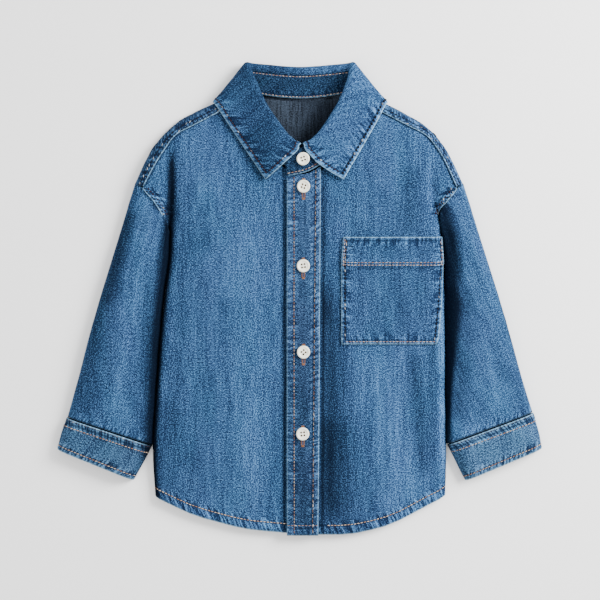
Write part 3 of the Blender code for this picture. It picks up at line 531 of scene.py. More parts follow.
def relief(points, seams, seed, uneven=0.35, rope=0.30, reach=9.0):
    """The cloth's own unevenness, and the puckers that the sewing pulls up."""
    along, away = seams[..., 0] / MM, seams[..., 1] / MM
    bend = PUCKER_BEND * field(points, SMALL, seed + 3)
    turn = (along + PUCKER_SLANT * away) * (2 * math.pi / PUCKER) + bend
    near = ease((reach + 3.0 - away) / 5.0) * ease(away / 2.0)
    soft = field(points, COARSE, seed) + 0.5 * field(points, MEDIUM, seed + 1)
    rise = uneven * soft * ease(away / 6.0) + rope * np.sin(turn) * near
    return points + normals_of(points) * rise[..., None]


def grid_mesh(points, weave, seams, shade):
    """A bmesh grid laid over the points, with its three UV maps."""
    rows, columns = points.shape[:2]
    mesh = bmesh.new()
    bmesh.ops.create_grid(mesh, x_segments=columns - 1, y_segments=rows - 1, size=0.5)
    maps = [(mesh.loops.layers.uv.new(name), values)
            for name, values in (("Weave", weave), ("Seams", seams), ("Shade", shade))]
    place = {vert: (round((vert.co.y + 0.5) * (rows - 1)), round((vert.co.x + 0.5) * (columns - 1)))
             for vert in mesh.verts}
    for face in mesh.faces:
        for loop in face.loops:
            for layer, values in maps:
                loop[layer].uv = values[place[loop.vert]]
    for vert, spot in place.items():
        vert.co = Vector(points[spot]) * MM
    return mesh


def mesh_data(name, mesh, *materials):
    """The bmesh as mesh data that wears the materials."""
    data = bpy.data.meshes.new(name)
    mesh.to_mesh(data)
    mesh.free()
    for finish in materials:
        data.materials.append(finish)
    return data


def linked(name, data):
    obj = bpy.data.objects.new(name, data)
    bpy.context.scene.collection.objects.link(obj)
    return obj


def attach(obj):
    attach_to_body(obj, BODY)


def join(meshes):
    """One bmesh from several, their shared edges welded."""
    whole = meshes[0]
    for part in meshes[1:]:
        carrier = mesh_data("carrier", part)
        whole.from_mesh(carrier)
        bpy.data.meshes.remove(carrier)
    bmesh.ops.remove_doubles(whole, verts=whole.verts[:], dist=0.02 * MM)
    return whole


def cloth_object(name, node, mesh, finish_set, wall=WALL):
    """The welded grid as a cloth wall: shown face, wrong side and cut edge."""
    data = mesh_data(name, mesh, *finish_set)
    data.shade_smooth()
    obj = linked(name, data)
    solidify = obj.modifiers.new("Wall", "SOLIDIFY")
    solidify.thickness = wall * MM
    solidify.offset = -1.0
    solidify.use_rim = True
    solidify.material_offset = 1
    solidify.material_offset_rim = 2
    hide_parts(node)
    attach(obj)


def lay(name, node, points, weave, seams, shade, finish_set, wall=WALL):
    cloth_object(name, node, grid_mesh(points, weave, seams, shade), finish_set, wall)


# ------------------------------------------------
# Rails for the sewing: lines of points and normals on the shown faces
# ------------------------------------------------

SEWING = []  # (points, normals, thread, pitch, thickness, slant)


def running(line):
    """The running length at each point of a line."""
    steps = np.linalg.norm(np.diff(line, axis=0), axis=1)
    return np.concatenate([[0.0], np.cumsum(steps)])


def at(values, run, distance):
    return np.array([np.interp(distance, run, values[:, k]) for k in range(3)])


def inset(points, side, distance, start=0.0, stop=1.0):
    """The line at distance in from one side of the grid, with its normals."""
    grids = points, normals_of(points)
    if "row" in side:
        grids = [grid.transpose(1, 0, 2) for grid in grids]
    if "high" in side:
        grids = [grid[:, ::-1] for grid in grids]
    last = len(grids[0]) - 1
    rows = slice(round(start * last), round(stop * last) + 1)
    runs = [running(row) for row in grids[0][rows]]
    return [np.array([at(row, run, distance) for row, run in zip(grid[rows], runs)])
            for grid in grids]


def sew(points, side, distance, span=(0.0, 1.0), thread="copper", pitch=3.0, thickness=0.28,
        slant=0.0, through=0.0):
    """Notes one row of stitches; through turns it to the wrong side of a wall."""
    line, facing = inset(points, side, distance, *span)
    if through:
        line, facing = line - facing * through, -facing
    SEWING.append((line, facing, thread, pitch, thickness, slant))


# ------------------------------------------------
# Materials
# ------------------------------------------------

class Look:
    """A material in the making, with its nodes and its shader."""

    def __init__(self, name):
        self.material = bpy.data.materials.new(name)
        self.material.use_nodes = True
        self.tree = self.material.node_tree
        self.shader = self.tree.nodes["Principled BSDF"]

    def feed(self, node, inputs):
        """Links the sockets in inputs to the node, and sets its plain values."""
        for key, value in inputs.items():
            if isinstance(value, bpy.types.NodeSocket):
                self.tree.links.new(value, node.inputs[key])
            else:
                node.inputs[key].default_value = value

    def add(self, kind, inputs, **settings):
        node = self.tree.nodes.new(kind)
        for key, value in settings.items():
            setattr(node, key, value)
        self.feed(node, inputs)
        return node.outputs

    def math(self, kind, *values, clamp=False):
        return self.add("ShaderNodeMath", dict(enumerate(values)), operation=kind,
                        use_clamp=clamp)[0]

    def sum(self, value, *layers):
        """The value with each layer added, times its amount."""
        for layer, amount in layers:
            value = self.math("MULTIPLY_ADD", layer, amount, value)
        return value

    def uv(self, name):
        return self.add("ShaderNodeUVMap", {}, uv_map=name)["UV"]

    def spot(self):
        return self.add("ShaderNodeTexCoord", {})["Object"]

    def parts(self, name):
        """The two values that the piece's own map holds."""
        parts = self.add("ShaderNodeSeparateXYZ", {0: self.uv(name)})
        return parts["X"], parts["Y"]

    def stretched(self, scale, turn=0.0):
        return self.add("ShaderNodeMapping", {
            "Vector": self.uv("Weave"), "Scale": scale, "Rotation": (0.0, 0.0, turn)})["Vector"]

    def noise(self, source, scale, detail=2.0, rough=0.55):
        return self.add("ShaderNodeTexNoise", {
            "Vector": source, "Scale": scale, "Detail": detail, "Roughness": rough})["Fac"]

    def grain(self, across, along, detail=2.0, rough=0.55):
        """Noise with so many periods to a metre across the piece and along it."""
        return self.noise(self.stretched((across, along, 1.0)), 1.0, detail, rough)

    def mixed(self, factor, first, second, blend="MIX"):
        pair = [v if isinstance(v, bpy.types.NodeSocket) else (*v, 1.0) for v in (first, second)]
        return self.add("ShaderNodeMix", {0: factor, 6: pair[0], 7: pair[1]},
                        data_type="RGBA", blend_type=blend)[2]

    def band(self, value, low, high):
        """1 below low, 0 above high, soft between; both in millimetres."""
        return self.add("ShaderNodeMapRange", {
            "Value": value, "From Min": low * MM, "From Max": high * MM,
            "To Min": 1.0, "To Max": 0.0}, interpolation_type="SMOOTHSTEP")["Result"]

    def ramp(self, value, *stops):
        node = self.tree.nodes.new("ShaderNodeValToRGB")
        elements = node.color_ramp.elements
        while len(elements) < len(stops):
            elements.new(0.5)
        for element, (position, colour) in zip(elements, stops):
            element.position = position
            element.color = (*colour, 1.0)
        self.feed(node, {"Fac": value})
        return node.outputs["Color"]

    def bump(self, height, distance, strength=1.0):
        return self.add("ShaderNodeBump", {
            "Height": height, "Distance": distance * MM, "Strength": strength})["Normal"]

    def finish(self, **sockets):
        """Feeds the shader's own sockets; an underscore stands for a space."""
        self.feed(self.shader, {key.replace("_", " "): v for key, v in sockets.items()})
        return self.material


def toned(colour, *factors):
    """The colour times one factor, or times one for each channel."""
    return tuple(c * f for c, f in zip(colour, factors * 3 if len(factors) == 1 else factors))


def denim(name, tone=1.0, shift=(1.0, 1.0, 1.0), sewn=5.0, rope=1.0, wear=1.0, reach=6.5,
          turned=0.0, lean=0.40):
    """The shown face: twill, streaks, flecks, worn edges and roping along the seams, with painted
    shade and painted light from the Shade map.
    """
    cloth = bpy.context.scene.shirt_cloth
    look = Look(name)
    along, away = look.parts("Seams")
    darker, paler = look.parts("Shade")
    streak = look.grain(520, 46, 3.0)
    fleck = look.grain(1130, 830, 2.0, 0.95)
    blotch = look.grain(120, 9, 2.0, 0.6)
    cloud = look.grain(26, 15, 3.0)
    twill = look.add("ShaderNodeTexWave", {
        "Vector": look.stretched((1.0, 1.0, 1.0), math.radians(32)),
        "Scale": 330.0, "Distortion": 1.2, "Detail Scale": 2.0})["Fac"]
    value = look.math("MULTIPLY_ADD", fleck, 7.60, -4.92)
    # The Shade map's darker and paler values are painted shade and painted light.
    value = look.sum(value, (blotch, 0.70), (streak, 1.20), (cloud, 0.40), (twill, 0.20),
                     (darker, -0.30), (paler, 0.45))

    # Roping: pale ridges and dark troughs, slanting across the sewn allowance.
    slanting = look.add("ShaderNodeCombineXYZ", {
        0: look.math("MULTIPLY_ADD", away, lean, along), 1: look.math("MULTIPLY", away, 0.16)})
    roping = look.noise(slanting[0], 330.0, 2.0, 0.6)
    near = look.band(away, sewn + 0.5, sewn + reach)
    rope_fade = look.math("MULTIPLY_ADD", roping, 4.4 * rope, -2.2 * rope)
    allowance = look.band(away, sewn - 0.8, sewn + 0.6)
    mottle = look.math("MULTIPLY_ADD", roping, 6.0 * turned, -2.0 * turned)
    value = look.sum(value, (rope_fade, look.math("MULTIPLY", near, 0.62)), (allowance, mottle))

    dark, middle, pale = (toned(toned(colour, tone), *shift)
                          for colour in (cloth.dark, cloth.middle, cloth.pale))
    colour = look.ramp(value, (0.10, dark), (0.50, middle), (0.95, pale))
    tint = look.ramp(look.grain(30, 13), (0.36, (0.93, 1.01, 0.99)), (0.64, (1.05, 0.99, 1.01)))
    colour = look.mixed(1.0, colour, tint, "MULTIPLY")

    # The cut edge is rubbed pale, and the sewing line is darkened as painted shade in the groove
    # that the stitches pull in.
    rub = look.math("MULTIPLY", look.band(away, 0.1, 1.4),
                    look.math("MULTIPLY_ADD", roping, 2.6, -0.65), clamp=True)
    colour = look.mixed(look.math("MULTIPLY", rub, 0.90 * wear, clamp=True), colour, cloth.worn)
    from_line = look.math("ABSOLUTE", look.math("SUBTRACT", away, sewn * MM))
    line = look.band(from_line, 0.3, 1.4)
    colour = look.mixed(look.math("MULTIPLY", line, 0.72), colour, toned(cloth.dark, 0.8))
    # Painted shade: the Shade map mixes the colour toward the deep crease colour.
    colour = look.mixed(look.math("MULTIPLY", darker, 0.94), colour, cloth.deep)

    height = look.sum(look.math("MULTIPLY", twill, 0.05), (fleck, 0.22), (streak, 0.10),
                      (rope_fade, look.math("MULTIPLY", near, 0.30)), (line, -0.55))
    return look.finish(
        Base_Color=colour, Normal=look.bump(height, 1.0, 0.8),
        Roughness=look.math("MULTIPLY_ADD", fleck, 0.12, 0.80), Specular_IOR_Level=0.02,
        Sheen_Weight=0.02, Sheen_Roughness=0.4, Sheen_Tint=(0.25, 0.45, 0.70, 1.0))


def wrong_side(name):
    """The inner face, where the undyed weft shows, its colour set dark as painted shade for the
    inside of the neck.
    """
    cloth = bpy.context.scene.shirt_cloth
    look = Look(name)
    fleck = look.grain(900, 900, 1.0, 0.6)
    value = look.sum(look.math("MULTIPLY_ADD", fleck, 1.8, -1.65),
                     (look.grain(620, 45, 2.0, 0.6), 1.7), (look.grain(60, 30, 3.0), 0.8))
    colour = look.ramp(value, (0.1, toned(cloth.wrong, 0.3)), (0.95, toned(cloth.wrong, 2.2)))
    # The Shade map mixes painted shade into the colour.
    return look.finish(
        Base_Color=look.mixed(look.parts("Shade")[0], colour, cloth.deep),
        Normal=look.bump(fleck, 0.3, 0.6), Roughness=0.92, Specular_IOR_Level=0.06)


def cut_edge(name, tone=0.7):
    """The rubbed edge of a fold or a hem, with painted shade where it lies in a crease."""
    cloth = bpy.context.scene.shirt_cloth
    look = Look(name)
    fleck = look.grain(300, 300, 3.0, 0.75)
    colour = look.ramp(fleck, (0.36, cloth.dark), (0.50, cloth.middle),
                       (0.68, toned(cloth.worn, tone)))
    # Painted shade from the Shade map, darkest in the creases.
    deep = look.math("MULTIPLY", look.parts("Shade")[0], 1.6, clamp=True)
    return look.finish(
        Base_Color=look.mixed(deep, colour, cloth.deep), Normal=look.bump(fleck, 0.3),
        Roughness=0.92, Specular_IOR_Level=0.06)


def thread_material(name, colour, other):
    """Twisted cotton thread; each stitch has its own tint."""
    look = Look(name)
    fibre = look.noise(look.spot(), 2600.0, 2.0, 0.7)
    tint = look.add("ShaderNodeAttribute", {}, attribute_name="tint")["Fac"]
    value = look.math("SUBTRACT", look.math("MULTIPLY_ADD", fibre, 0.4, tint), 0.2)
    return look.finish(
        Base_Color=look.ramp(value, (0.25, colour), (1.0, other)),
        Normal=look.bump(fibre, 0.1), Roughness=0.8, Specular_IOR_Level=0.10)


def button_material(name):
    """Pearly ivory, a little uneven, with a soft polish."""
    ivory = bpy.context.scene.shirt_buttons.ivory
    look = Look(name)
    cloud = look.noise(look.spot(), 210.0, 3.0, 0.6)
    fine = look.noise(look.spot(), 1500.0, 2.0, 0.6)
    return look.finish(
        Base_Color=look.ramp(cloud, (0.32, toned(ivory, 0.80)), (0.66, ivory)),
        Roughness=look.math("MULTIPLY_ADD", fine, 0.22, 0.22),
        Subsurface_Weight=0.10, Subsurface_Radius=(0.0012, 0.0010, 0.0007),
        Coat_Weight=0.25, Coat_Roughness=0.25)


def slit_material(name):
    """The shadow in a buttonhole, fuzzy with cut threads."""
    look = Look(name)
    fuzz = look.noise(look.spot(), 2500.0, 2.0, 0.7)
    colour = look.ramp(fuzz, (0.3, (0.010, 0.012, 0.03)), (0.8, (0.05, 0.05, 0.09)))
    return look.finish(Base_Color=colour, Roughness=0.95)


def floor_material(name):
    floor = bpy.context.scene.shirt_stage.floor
    look = Look(name)
    cloud = look.noise(look.spot(), 3.0)
    colour = look.ramp(cloud, (0.3, toned(floor, 0.985)), (0.7, floor))
    return look.finish(Base_Color=colour, Roughness=0.9)


MATERIALS = {}


def material(name, maker, **options):
    if name not in MATERIALS:
        MATERIALS[name] = maker(name, **options)
    return MATERIALS[name]


def finishes(face, folded=False, **options):
    """The three finishes of a cloth wall: shown face, wrong side and cut edge."""
    if folded:
        edge = material("denim_folded_edge", cut_edge, tone=0.22)
    else:
        edge = material("denim_edge", cut_edge)
    return material(face, denim, **options), material("denim_wrong_side", wrong_side), edge


# ------------------------------------------------
# User settings
# ------------------------------------------------

COLOUR = {"subtype": "COLOR", "min": 0.0, "max": 1.0}
LENGTH = {"subtype": "DISTANCE", "unit": "LENGTH"}


class ShirtClothSettings(bpy.types.PropertyGroup):
    """Colours of the washed denim"""

    dark: FloatVectorProperty(
        name="Dark", description="Dyed warp in the troughs", default=(0.006, 0.016, 0.044), **COLOUR)
    # Deep is the colour that painted shade in creases and folds mixes toward.
    deep: FloatVectorProperty(
        name="Deep", description="The darkest creases", default=(0.001, 0.0022, 0.006), **COLOUR)
    middle: FloatVectorProperty(
        name="Middle", description="The cloth's usual blue", default=(0.035, 0.09, 0.203), **COLOUR)
    pale: FloatVectorProperty(
        name="Pale", description="Washed-out flecks", default=(0.085, 0.215, 0.43), **COLOUR)
    worn: FloatVectorProperty(
        name="Worn", description="Rubbed edges", default=(0.22, 0.40, 0.57), **COLOUR)
    # Set dark: painted shade for the inner face that shows inside the neck.
    wrong: FloatVectorProperty(
        name="Wrong side", description="Inner face of the cloth", default=(0.018, 0.025, 0.037),
        **COLOUR)


class ShirtThreadSettings(bpy.types.PropertyGroup):
    """Sewing thread"""

    copper: FloatVectorProperty(
        name="Copper", description="Topstitching thread", default=(0.25, 0.13, 0.078), **COLOUR)
    tan: FloatVectorProperty(
        name="Tan", description="Lighter thread", default=(0.52, 0.42, 0.33), **COLOUR)
    rust: FloatVectorProperty(
        name="Rust", description="Dark worn thread", default=(0.022, 0.009, 0.013), **COLOUR)
    ink: FloatVectorProperty(
        name="Ink", description="Nearly black thread", default=(0.006, 0.006, 0.01), **COLOUR)
    white: FloatVectorProperty(
        name="White", description="Bleached flecks of thread", default=(0.36, 0.39, 0.43), **COLOUR)


class ShirtButtonSettings(bpy.types.PropertyGroup):
    """Buttons"""

    radius: FloatProperty(
        name="Radius", description="Radius of a button", default=5.85 * MM, min=0.003, max=0.012,
        **LENGTH)
    height: FloatProperty(
        name="Height", description="Thickness of a button", default=2.4 * MM, min=0.001, max=0.005,
        **LENGTH)
    ivory: FloatVectorProperty(
        name="Ivory", description="Colour of the buttons", default=(0.86, 0.85, 0.72), **COLOUR)


class ShirtStageSettings(bpy.types.PropertyGroup):
    """Floor, lights and camera"""

    floor: FloatVectorProperty(
        name="Floor", description="Colour of the floor", default=(0.93, 0.93, 0.93), **COLOUR)
    distance: FloatProperty(
        name="Camera distance", description="From the lens to the shirt's front", default=1.5,
        min=0.5, max=5.0, **LENGTH)
    frame_width: FloatProperty(
        name="Frame width", description="Width of the picture at the shirt's front", default=0.54,
        min=0.2, max=2.0, **LENGTH)


# ------------------------------------------------
# Body
# ------------------------------------------------

def front_points(table):
    """A front's grid: from its side in to the middle, from the hem up to the neck."""
    rows = smooth_rows(table, FRONT_ROWS)
    inner_count = round((FULL_WIDTH - ROLL_STEPS[-1]) / FINE)
    points = []
    first = rows[0]
    for inner_x, inner_y, outer_x, outer_y in rows:
        length = math.hypot(outer_x - inner_x, outer_y - inner_y)
        roll = ROLL_STEPS / length * min(1.0, length / NARROW)
        share = np.concatenate([roll, np.linspace(roll[-1], 1.0, inner_count + 1)[1:]])
        x, y = between(outer_x, inner_x, share), between(outer_y, inner_y, share)
        chord = between(first[3], first[1], share)
        y = hemmed(x, y, chord)
        lap = ease(1.0 - share * length / LAP_REACH)
        for end, over in LAP_ENDS:
            lap = lap * ease((outer_y - end) / over)
        z = front_top(x, y) + LAP_RISE * lap
        points.append(np.stack([x + math.copysign(LAP, outer_x) * lap, y, z], axis=-1))
    points = np.array(points)
    return points[:, ::-1] if points[0, 0, 0] > 0 else points


def armhole_span(points, column):
    """First and last share of the rows whose end lies on the armhole seam."""
    y = points[:, column, 1]
    rows = np.nonzero((y > ARMHOLE_LOW) & (y < ARMHOLE_HIGH))[0]
    count = len(y) - 1
    return rows[0] / count, rows[-1] / count


class SHIRT_OT_fronts(bpy.types.Operator):
    """Lays the two fronts, with their soft folds and the roped hem"""

    bl_idname = "shirt.fronts"
    bl_label = "Fronts"

    def execute(self, context):
        for node, table, side, column, hem, seed in (
            ("right_front", RIGHT_FRONT, "low_column", 0, (0.0, 0.93), 11),
            ("left_front", LEFT_FRONT, "high_column", -1, (0.08, 1.0), 31),
        ):
            smooth = front_points(table)
            armhole = armhole_span(smooth, column)
            seams = seam_map(smooth, "low_row", (side, *armhole))
            points = relief(smooth, seams, seed, rope=0.42)
            shade = shade_map(smooth, FRONT_SHADES)
            # A painted shadow line on the front, along the shoulder seam under the back's lapped
            # edge.
            shoulder = seam_map(smooth, (side, armhole[1], 1.0))[..., 1] / MM
            shade[..., 0] += 0.5 * np.exp(-(((shoulder - 1.3) / 1.0) ** 2))
            lay(f"{node}_cloth", node, points, plan_map(smooth), seams,
                np.clip(shade, 0.0, 1.0), finishes("denim_front", sewn=8.0, rope=2.2))
            sew(points, "low_row", HEM_ROW, hem, thread="tan", thickness=0.36)
            for distance, thread in ((2.0, "ink"), (5.0, "rust")):
                sew(points, side, distance, armhole, thread=thread, thickness=0.56, slant=0.6)
        return {"FINISHED"}


def back_lift(x, y):
    """The back rides over the collar's fall, which lies under its neck edge."""
    low, rise = RIDE_ABOVE
    wide, fall = RIDE_WITHIN
    return RIDE * (ease((y - low) / rise) * (1.0 - ease((np.abs(x) - wide) / fall)))


def shoulder_wrap(table):
    """Per row along the fold: from the underside round to the seam in front."""
    sign = -1.0 if table[0][0] < 0 else 1.0
    rows = smooth_rows(table, SHOULDER_ROWS)
    tangent = np.gradient(rows[:, :2], axis=0)
    tangent /= np.linalg.norm(tangent, axis=1)[:, None]
    inward = np.stack([tangent[:, 1], -tangent[:, 0]], axis=1) * -sign
    sections = []
    for (fx, fy, sx, sy), (nx, ny) in zip(rows, inward):
        section = []
        for step, height in UNDER_STEPS:
            x, y = fx + nx * step, fy + ny * step
            section.append((x, y, float(back_lift(x, y)) + height))
        full = math.hypot(sx - fx, sy - fy)
        lowest = float(back_lift(fx, fy)) + 2.0
        for step in OVER_STEPS + tuple(np.linspace(6.4, full, 4)):
            t = min(step / full, 1.0)
            lift = (WALL + SEAM_GAP) * min(1.0, 2.0 * t)
            x, y, top = moved_out(between(fx, sx, t), between(fy, sy, t), lift)
            section.append((x, y, max(top, lowest)))
        sections.append(section)
    sections = np.array(sections)
    sections[0, :, :2] += 0.8 * (sections[0, :, :2] - sections[1, :, :2])
    return sections


def back_side(front, wrap, tuck):
    """One side line of the back, from the hem up its seam and round the shoulder."""
    low = smooth_rows([row[2:] for row in front[:10]], 120)[:-1]
    return np.vstack([low + (tuck, 0.0), wrap[:, 0, :2]])


def back_sheet(wrap_right, wrap_left):
    """The back's grid, curved to the hem below and to the neckline above."""
    right = back_side(RIGHT_FRONT, wrap_right, -BACK_TUCK)
    left = back_side(LEFT_FRONT, wrap_left, BACK_TUCK)
    across = np.linspace(0.0, 1.0, 110)
    top_x, top_y = (between(right[-1, k], left[-1, k], across) for k in (0, 1))
    dip = read(NECKLINE, top_x) - NECKLINE[0][1]
    chord = between(right[0, 1], left[0, 1], across)
    points = []
    for (rx, ry), (lx, ly) in zip(right, left):
        x, y = between(rx, lx, across), between(ry, ly, across)
        y = hemmed(x, y, chord)
        y = y + dip * ease(1.0 - (top_y - y) / DIP_FADE)
        points.append(np.stack([x, y, back_lift(x, y)], axis=-1))
    return np.array(points)


class SHIRT_OT_back(bpy.types.Operator):
    """Lays the back and wraps it over the shoulders to the forward seams"""

    bl_idname = "shirt.back"
    bl_label = "Back"

    def execute(self, context):
        wraps = shoulder_wrap(SHOULDER_RIGHT), shoulder_wrap(SHOULDER_LEFT)
        sheet = back_sheet(*wraps)[:, ::-1]
        armholes = [(side, *armhole_span(sheet, column))
                    for side, column in (("low_column", 0), ("high_column", -1))]
        meshes = [grid_mesh(sheet, plan_map(sheet), seam_map(sheet, "low_row", *armholes),
                            shade_map(sheet, BACK_SHADES))]
        for points in (wraps[0], wraps[1][::-1]):
            seams = seam_map(points, "high_column")
            weave = plan_map(points)
            weave[..., 1] += points[..., 2] * MM
            points[:, 3:] = relief(points, seams, 71, 0.0, 0.16, 6.0)[:, 3:]
            meshes.append(grid_mesh(points, weave, seams, shade_map(points, BACK_SHADES)))
            for distance in (1.3, 4.6):
                sew(points, "high_column", distance, thread="ink", pitch=3.6, thickness=0.42,
                    slant=0.5)
        cloth_object("back_cloth", "back", join(meshes),
                     finishes("denim_back", sewn=4.6, rope=1.8, tone=0.86,
                              shift=(1.05, 0.96, 0.95)))
        sew(sheet, "low_row", HEM_ROW, thread="rust")
        for side, *span in armholes:
            for distance in (1.7, 5.2):
                sew(sheet, side, distance, span, thread="rust")
        return {"FINISHED"}


# ------------------------------------------------
# Sleeves and cuffs
# ------------------------------------------------

def tube_section(length, loft, inner_roll, along, folds):
    """(in from the outer edge, z) once round a pressed tube, from its inner edge."""
    middle = np.linspace(SIDE_ROLL, length - SIDE_ROLL, 24)[1:-1]
    top = np.concatenate([ROLL_STEPS, middle, length - ROLL_STEPS[::-1]])
    height = EDGE_LIFT + loft * rounded(top, SIDE_ROLL) * rounded(length - top, inner_roll)
    soft = fold_height(along, top / length, folds) if folds else 0.0
    height = height + soft * ease(top / SIDE_ROLL) * ease((length - top) / inner_roll)
    under = np.concatenate([[length - 0.3, length - 1.0, length - 2.2],
                            np.linspace(length - 6.0, 6.0, 18), [2.2, 1.0, 0.3]])
    low = np.array([0.6, 0.15] + [0.0] * (len(under) - 4) + [0.15, 0.6])
    inward = np.concatenate([under[10:], top, under[:11]])
    return inward, np.concatenate([low[10:], height, low[:11]])


def tube_points(table, rings, folds=(), first_ring=None, tuck=0.0):
    """A tube's grid, ring by ring from its upper end down."""
    rows = smooth_rows(table, rings)
    sections = []
    for i, (ox, oy, ix, iy, loft, inner_roll) in enumerate(rows):
        along = i / (rings - 1)
        ix = ix - math.copysign(tuck, ix)
        length = math.hypot(ix - ox, iy - oy)
        inward, z = tube_section(length, loft, inner_roll, along, folds)
        share = inward / length
        x, y = between(ox, ix, share), between(oy, iy, share)
        if first_ring is not None:
            curve = smooth_rows(first_ring, 0, share * (len(first_ring) - 1))
            pull = float(ease(1.0 - along / RING_REACH))
            x = x + (curve[:, 0] - between(rows[0, 0], rows[0, 2], share)) * pull
            y = y + (curve[:, 1] - between(rows[0, 1], rows[0, 3], share)) * pull
        sections.append(np.stack([x, y, z], axis=-1))
    points = np.array(sections)
    return points[:, ::-1] if table[0][0] < 0 else points


def tube_cloth(name, node, smooth, shades, finish_set, *bumps):
    """Lays a tube, its relief kept off the flat underside and the joined edges."""
    seams = seam_map(smooth, "low_row", "high_row")
    points = relief(smooth, seams, *bumps)
    flat = smooth[..., 2] < EDGE_LIFT + 0.01
    points[flat] = smooth[flat]
    mesh = grid_mesh(points, weave_map(points), seams, shade_map(smooth, shades, True))
    bmesh.ops.remove_doubles(mesh, verts=mesh.verts[:], dist=0.01 * MM)
    under = [v for v in mesh.verts if v.co.z < 0.3 * MM and not v.is_boundary]
    for _ in range(UNDER_PASSES):
        bmesh.ops.smooth_vert(mesh, verts=under, factor=0.5, use_axis_x=True, use_axis_y=True)
    cloth_object(name, node, mesh, finish_set)
    return points


class SHIRT_OT_sleeves(bpy.types.Operator):
    """Lays the sleeves, each one pressed tube from the armhole to the cuff"""

    bl_idname = "shirt.sleeves"
    bl_label = "Sleeves"

    def execute(self, context):
        for node, table, ring, seed in (
            ("right_sleeve", RIGHT_SLEEVE, RIGHT_ARMHOLE, 31),
            ("left_sleeve", LEFT_SLEEVE, LEFT_ARMHOLE, 40),
        ):
            tube_cloth(f"{node}_cloth", node,
                       tube_points(table, SLEEVE_RINGS, SLEEVE_FOLDS, ring, SLEEVE_TUCK),
                       SLEEVE_SHADES,
                       finishes("denim_sleeve", sewn=0.0, rope=1.6, wear=0.5, reach=11.0),
                       seed, 0.45, 0.22, 3.0)
        return {"FINISHED"}


class SHIRT_OT_cuffs(bpy.types.Operator):
    """Adds the plain cuffs, roped between their rows of stitches"""

    bl_idname = "shirt.cuffs"
    bl_label = "Cuffs"

    def execute(self, context):
        for node, table, seed in (("right_cuff", RIGHT_CUFF, 51), ("left_cuff", LEFT_CUFF, 60)):
            points = tube_cloth(
                f"{node}_cloth", node, tube_points(table, CUFF_RINGS), CUFF_SHADES,
                finishes("denim_cuff", folded=True, sewn=4.2, rope=2.6, shift=(1.1, 1.0, 0.88)),
                seed, 0.3, 0.42, 7.0)
            for side, distance, thread in (("low_row", 1.4, "rust"), ("low_row", 7.2, "copper"),
                                           ("high_row", 4.2, "copper")):
                sew(points, side, distance, thread=thread, thickness=0.36, slant=0.2)
        return {"FINISHED"}


# ------------------------------------------------
# Collar, placket and pocket
# ------------------------------------------------

def collar_sections():
    """The collar's rows, with the way out to the edge and the side it turns to."""
    sections = []
    for *roll, ex, ey, ez, turn, radius, lap in smooth_rows(COLLAR, COLLAR_STATIONS):
        out = np.array([ex - roll[0], ey - roll[1]])
        out /= np.linalg.norm(out)
        aside = np.array([out[1], -out[0]])
        if aside[1] < 0:
            aside = -aside
        angle = math.radians(turn)
        lean = np.array([*(aside * math.sin(angle)), math.cos(angle)])
        sections.append((np.array(roll), np.array([*out, 0.0]), lean, radius, lap,
                         np.array([ex, ey, ez])))
    return sections


def collar_points():
    """The fall's grid: inside the neck, over the roll and out to the edge."""
    last = len(COLLAR) - 1
    grid = []
    for i, (roll, out, lean, radius, lap, edge) in enumerate(collar_sections()):
        row = i * last / (COLLAR_STATIONS - 1)
        forward = np.array([-out[1], out[0], 0.0])
        weights = (float(ease(1.0 - row / BOW_ROWS)), -float(ease(1.0 - (last - row) / BOW_ROWS)))
        line = [roll + out * lap - lean * radius, roll + out * lap * 0.5 - lean * radius]
        for angle in np.linspace(0.0, math.pi, ROLL_POINTS):
            line.append(roll + out * radius * (1.0 - math.sin(angle))
                        - lean * radius * math.cos(angle))
        start = line[-1]
        for t in np.linspace(0.0, 1.0, LEAF_POINTS + 1)[1:]:
            sag = LEAF_SAG * math.sin(math.pi * t) * abs(lean[2])
            bows = [w * read(LEAF_BOW, t, k) for k, w in enumerate(weights, 1)]
            point = start + (edge - start) * t + forward * sum(bows)
            line.append(point + np.array([0.0, 0.0, sag if lean[2] > 0 else 0.0]))
        grid.append(line)
    points = np.array(grid)[:, ::-1]
    points[..., 2] = np.maximum(points[..., 2], 0.0)
    return points


def stand_points():
    """The stand's grid, from under the fall down to the neck seam."""
    last = len(COLLAR) - 1
    grid = []
    for i, ((roll, out, lean, radius, lap, _), low) in enumerate(
            zip(collar_sections(), smooth_rows(NECK_SEAM, COLLAR_STATIONS))):
        high = roll + out * lap - lean * radius
        step = high - low
        high = high - step / np.linalg.norm(step) * SEAM_GAP
        left = (COLLAR_STATIONS - 1 - i) * last / (COLLAR_STATIONS - 1)
        bow = STAND_BOW * float(ease(1.0 - left / STAND_BOW_ROWS))
        grid.append([between(low, high, t) - np.array([bow * math.sin(math.pi * t), 0, 0])
                     for t in np.linspace(0.0, 1.0, STAND_POINTS)])
    return np.array(grid)[:, ::-1]


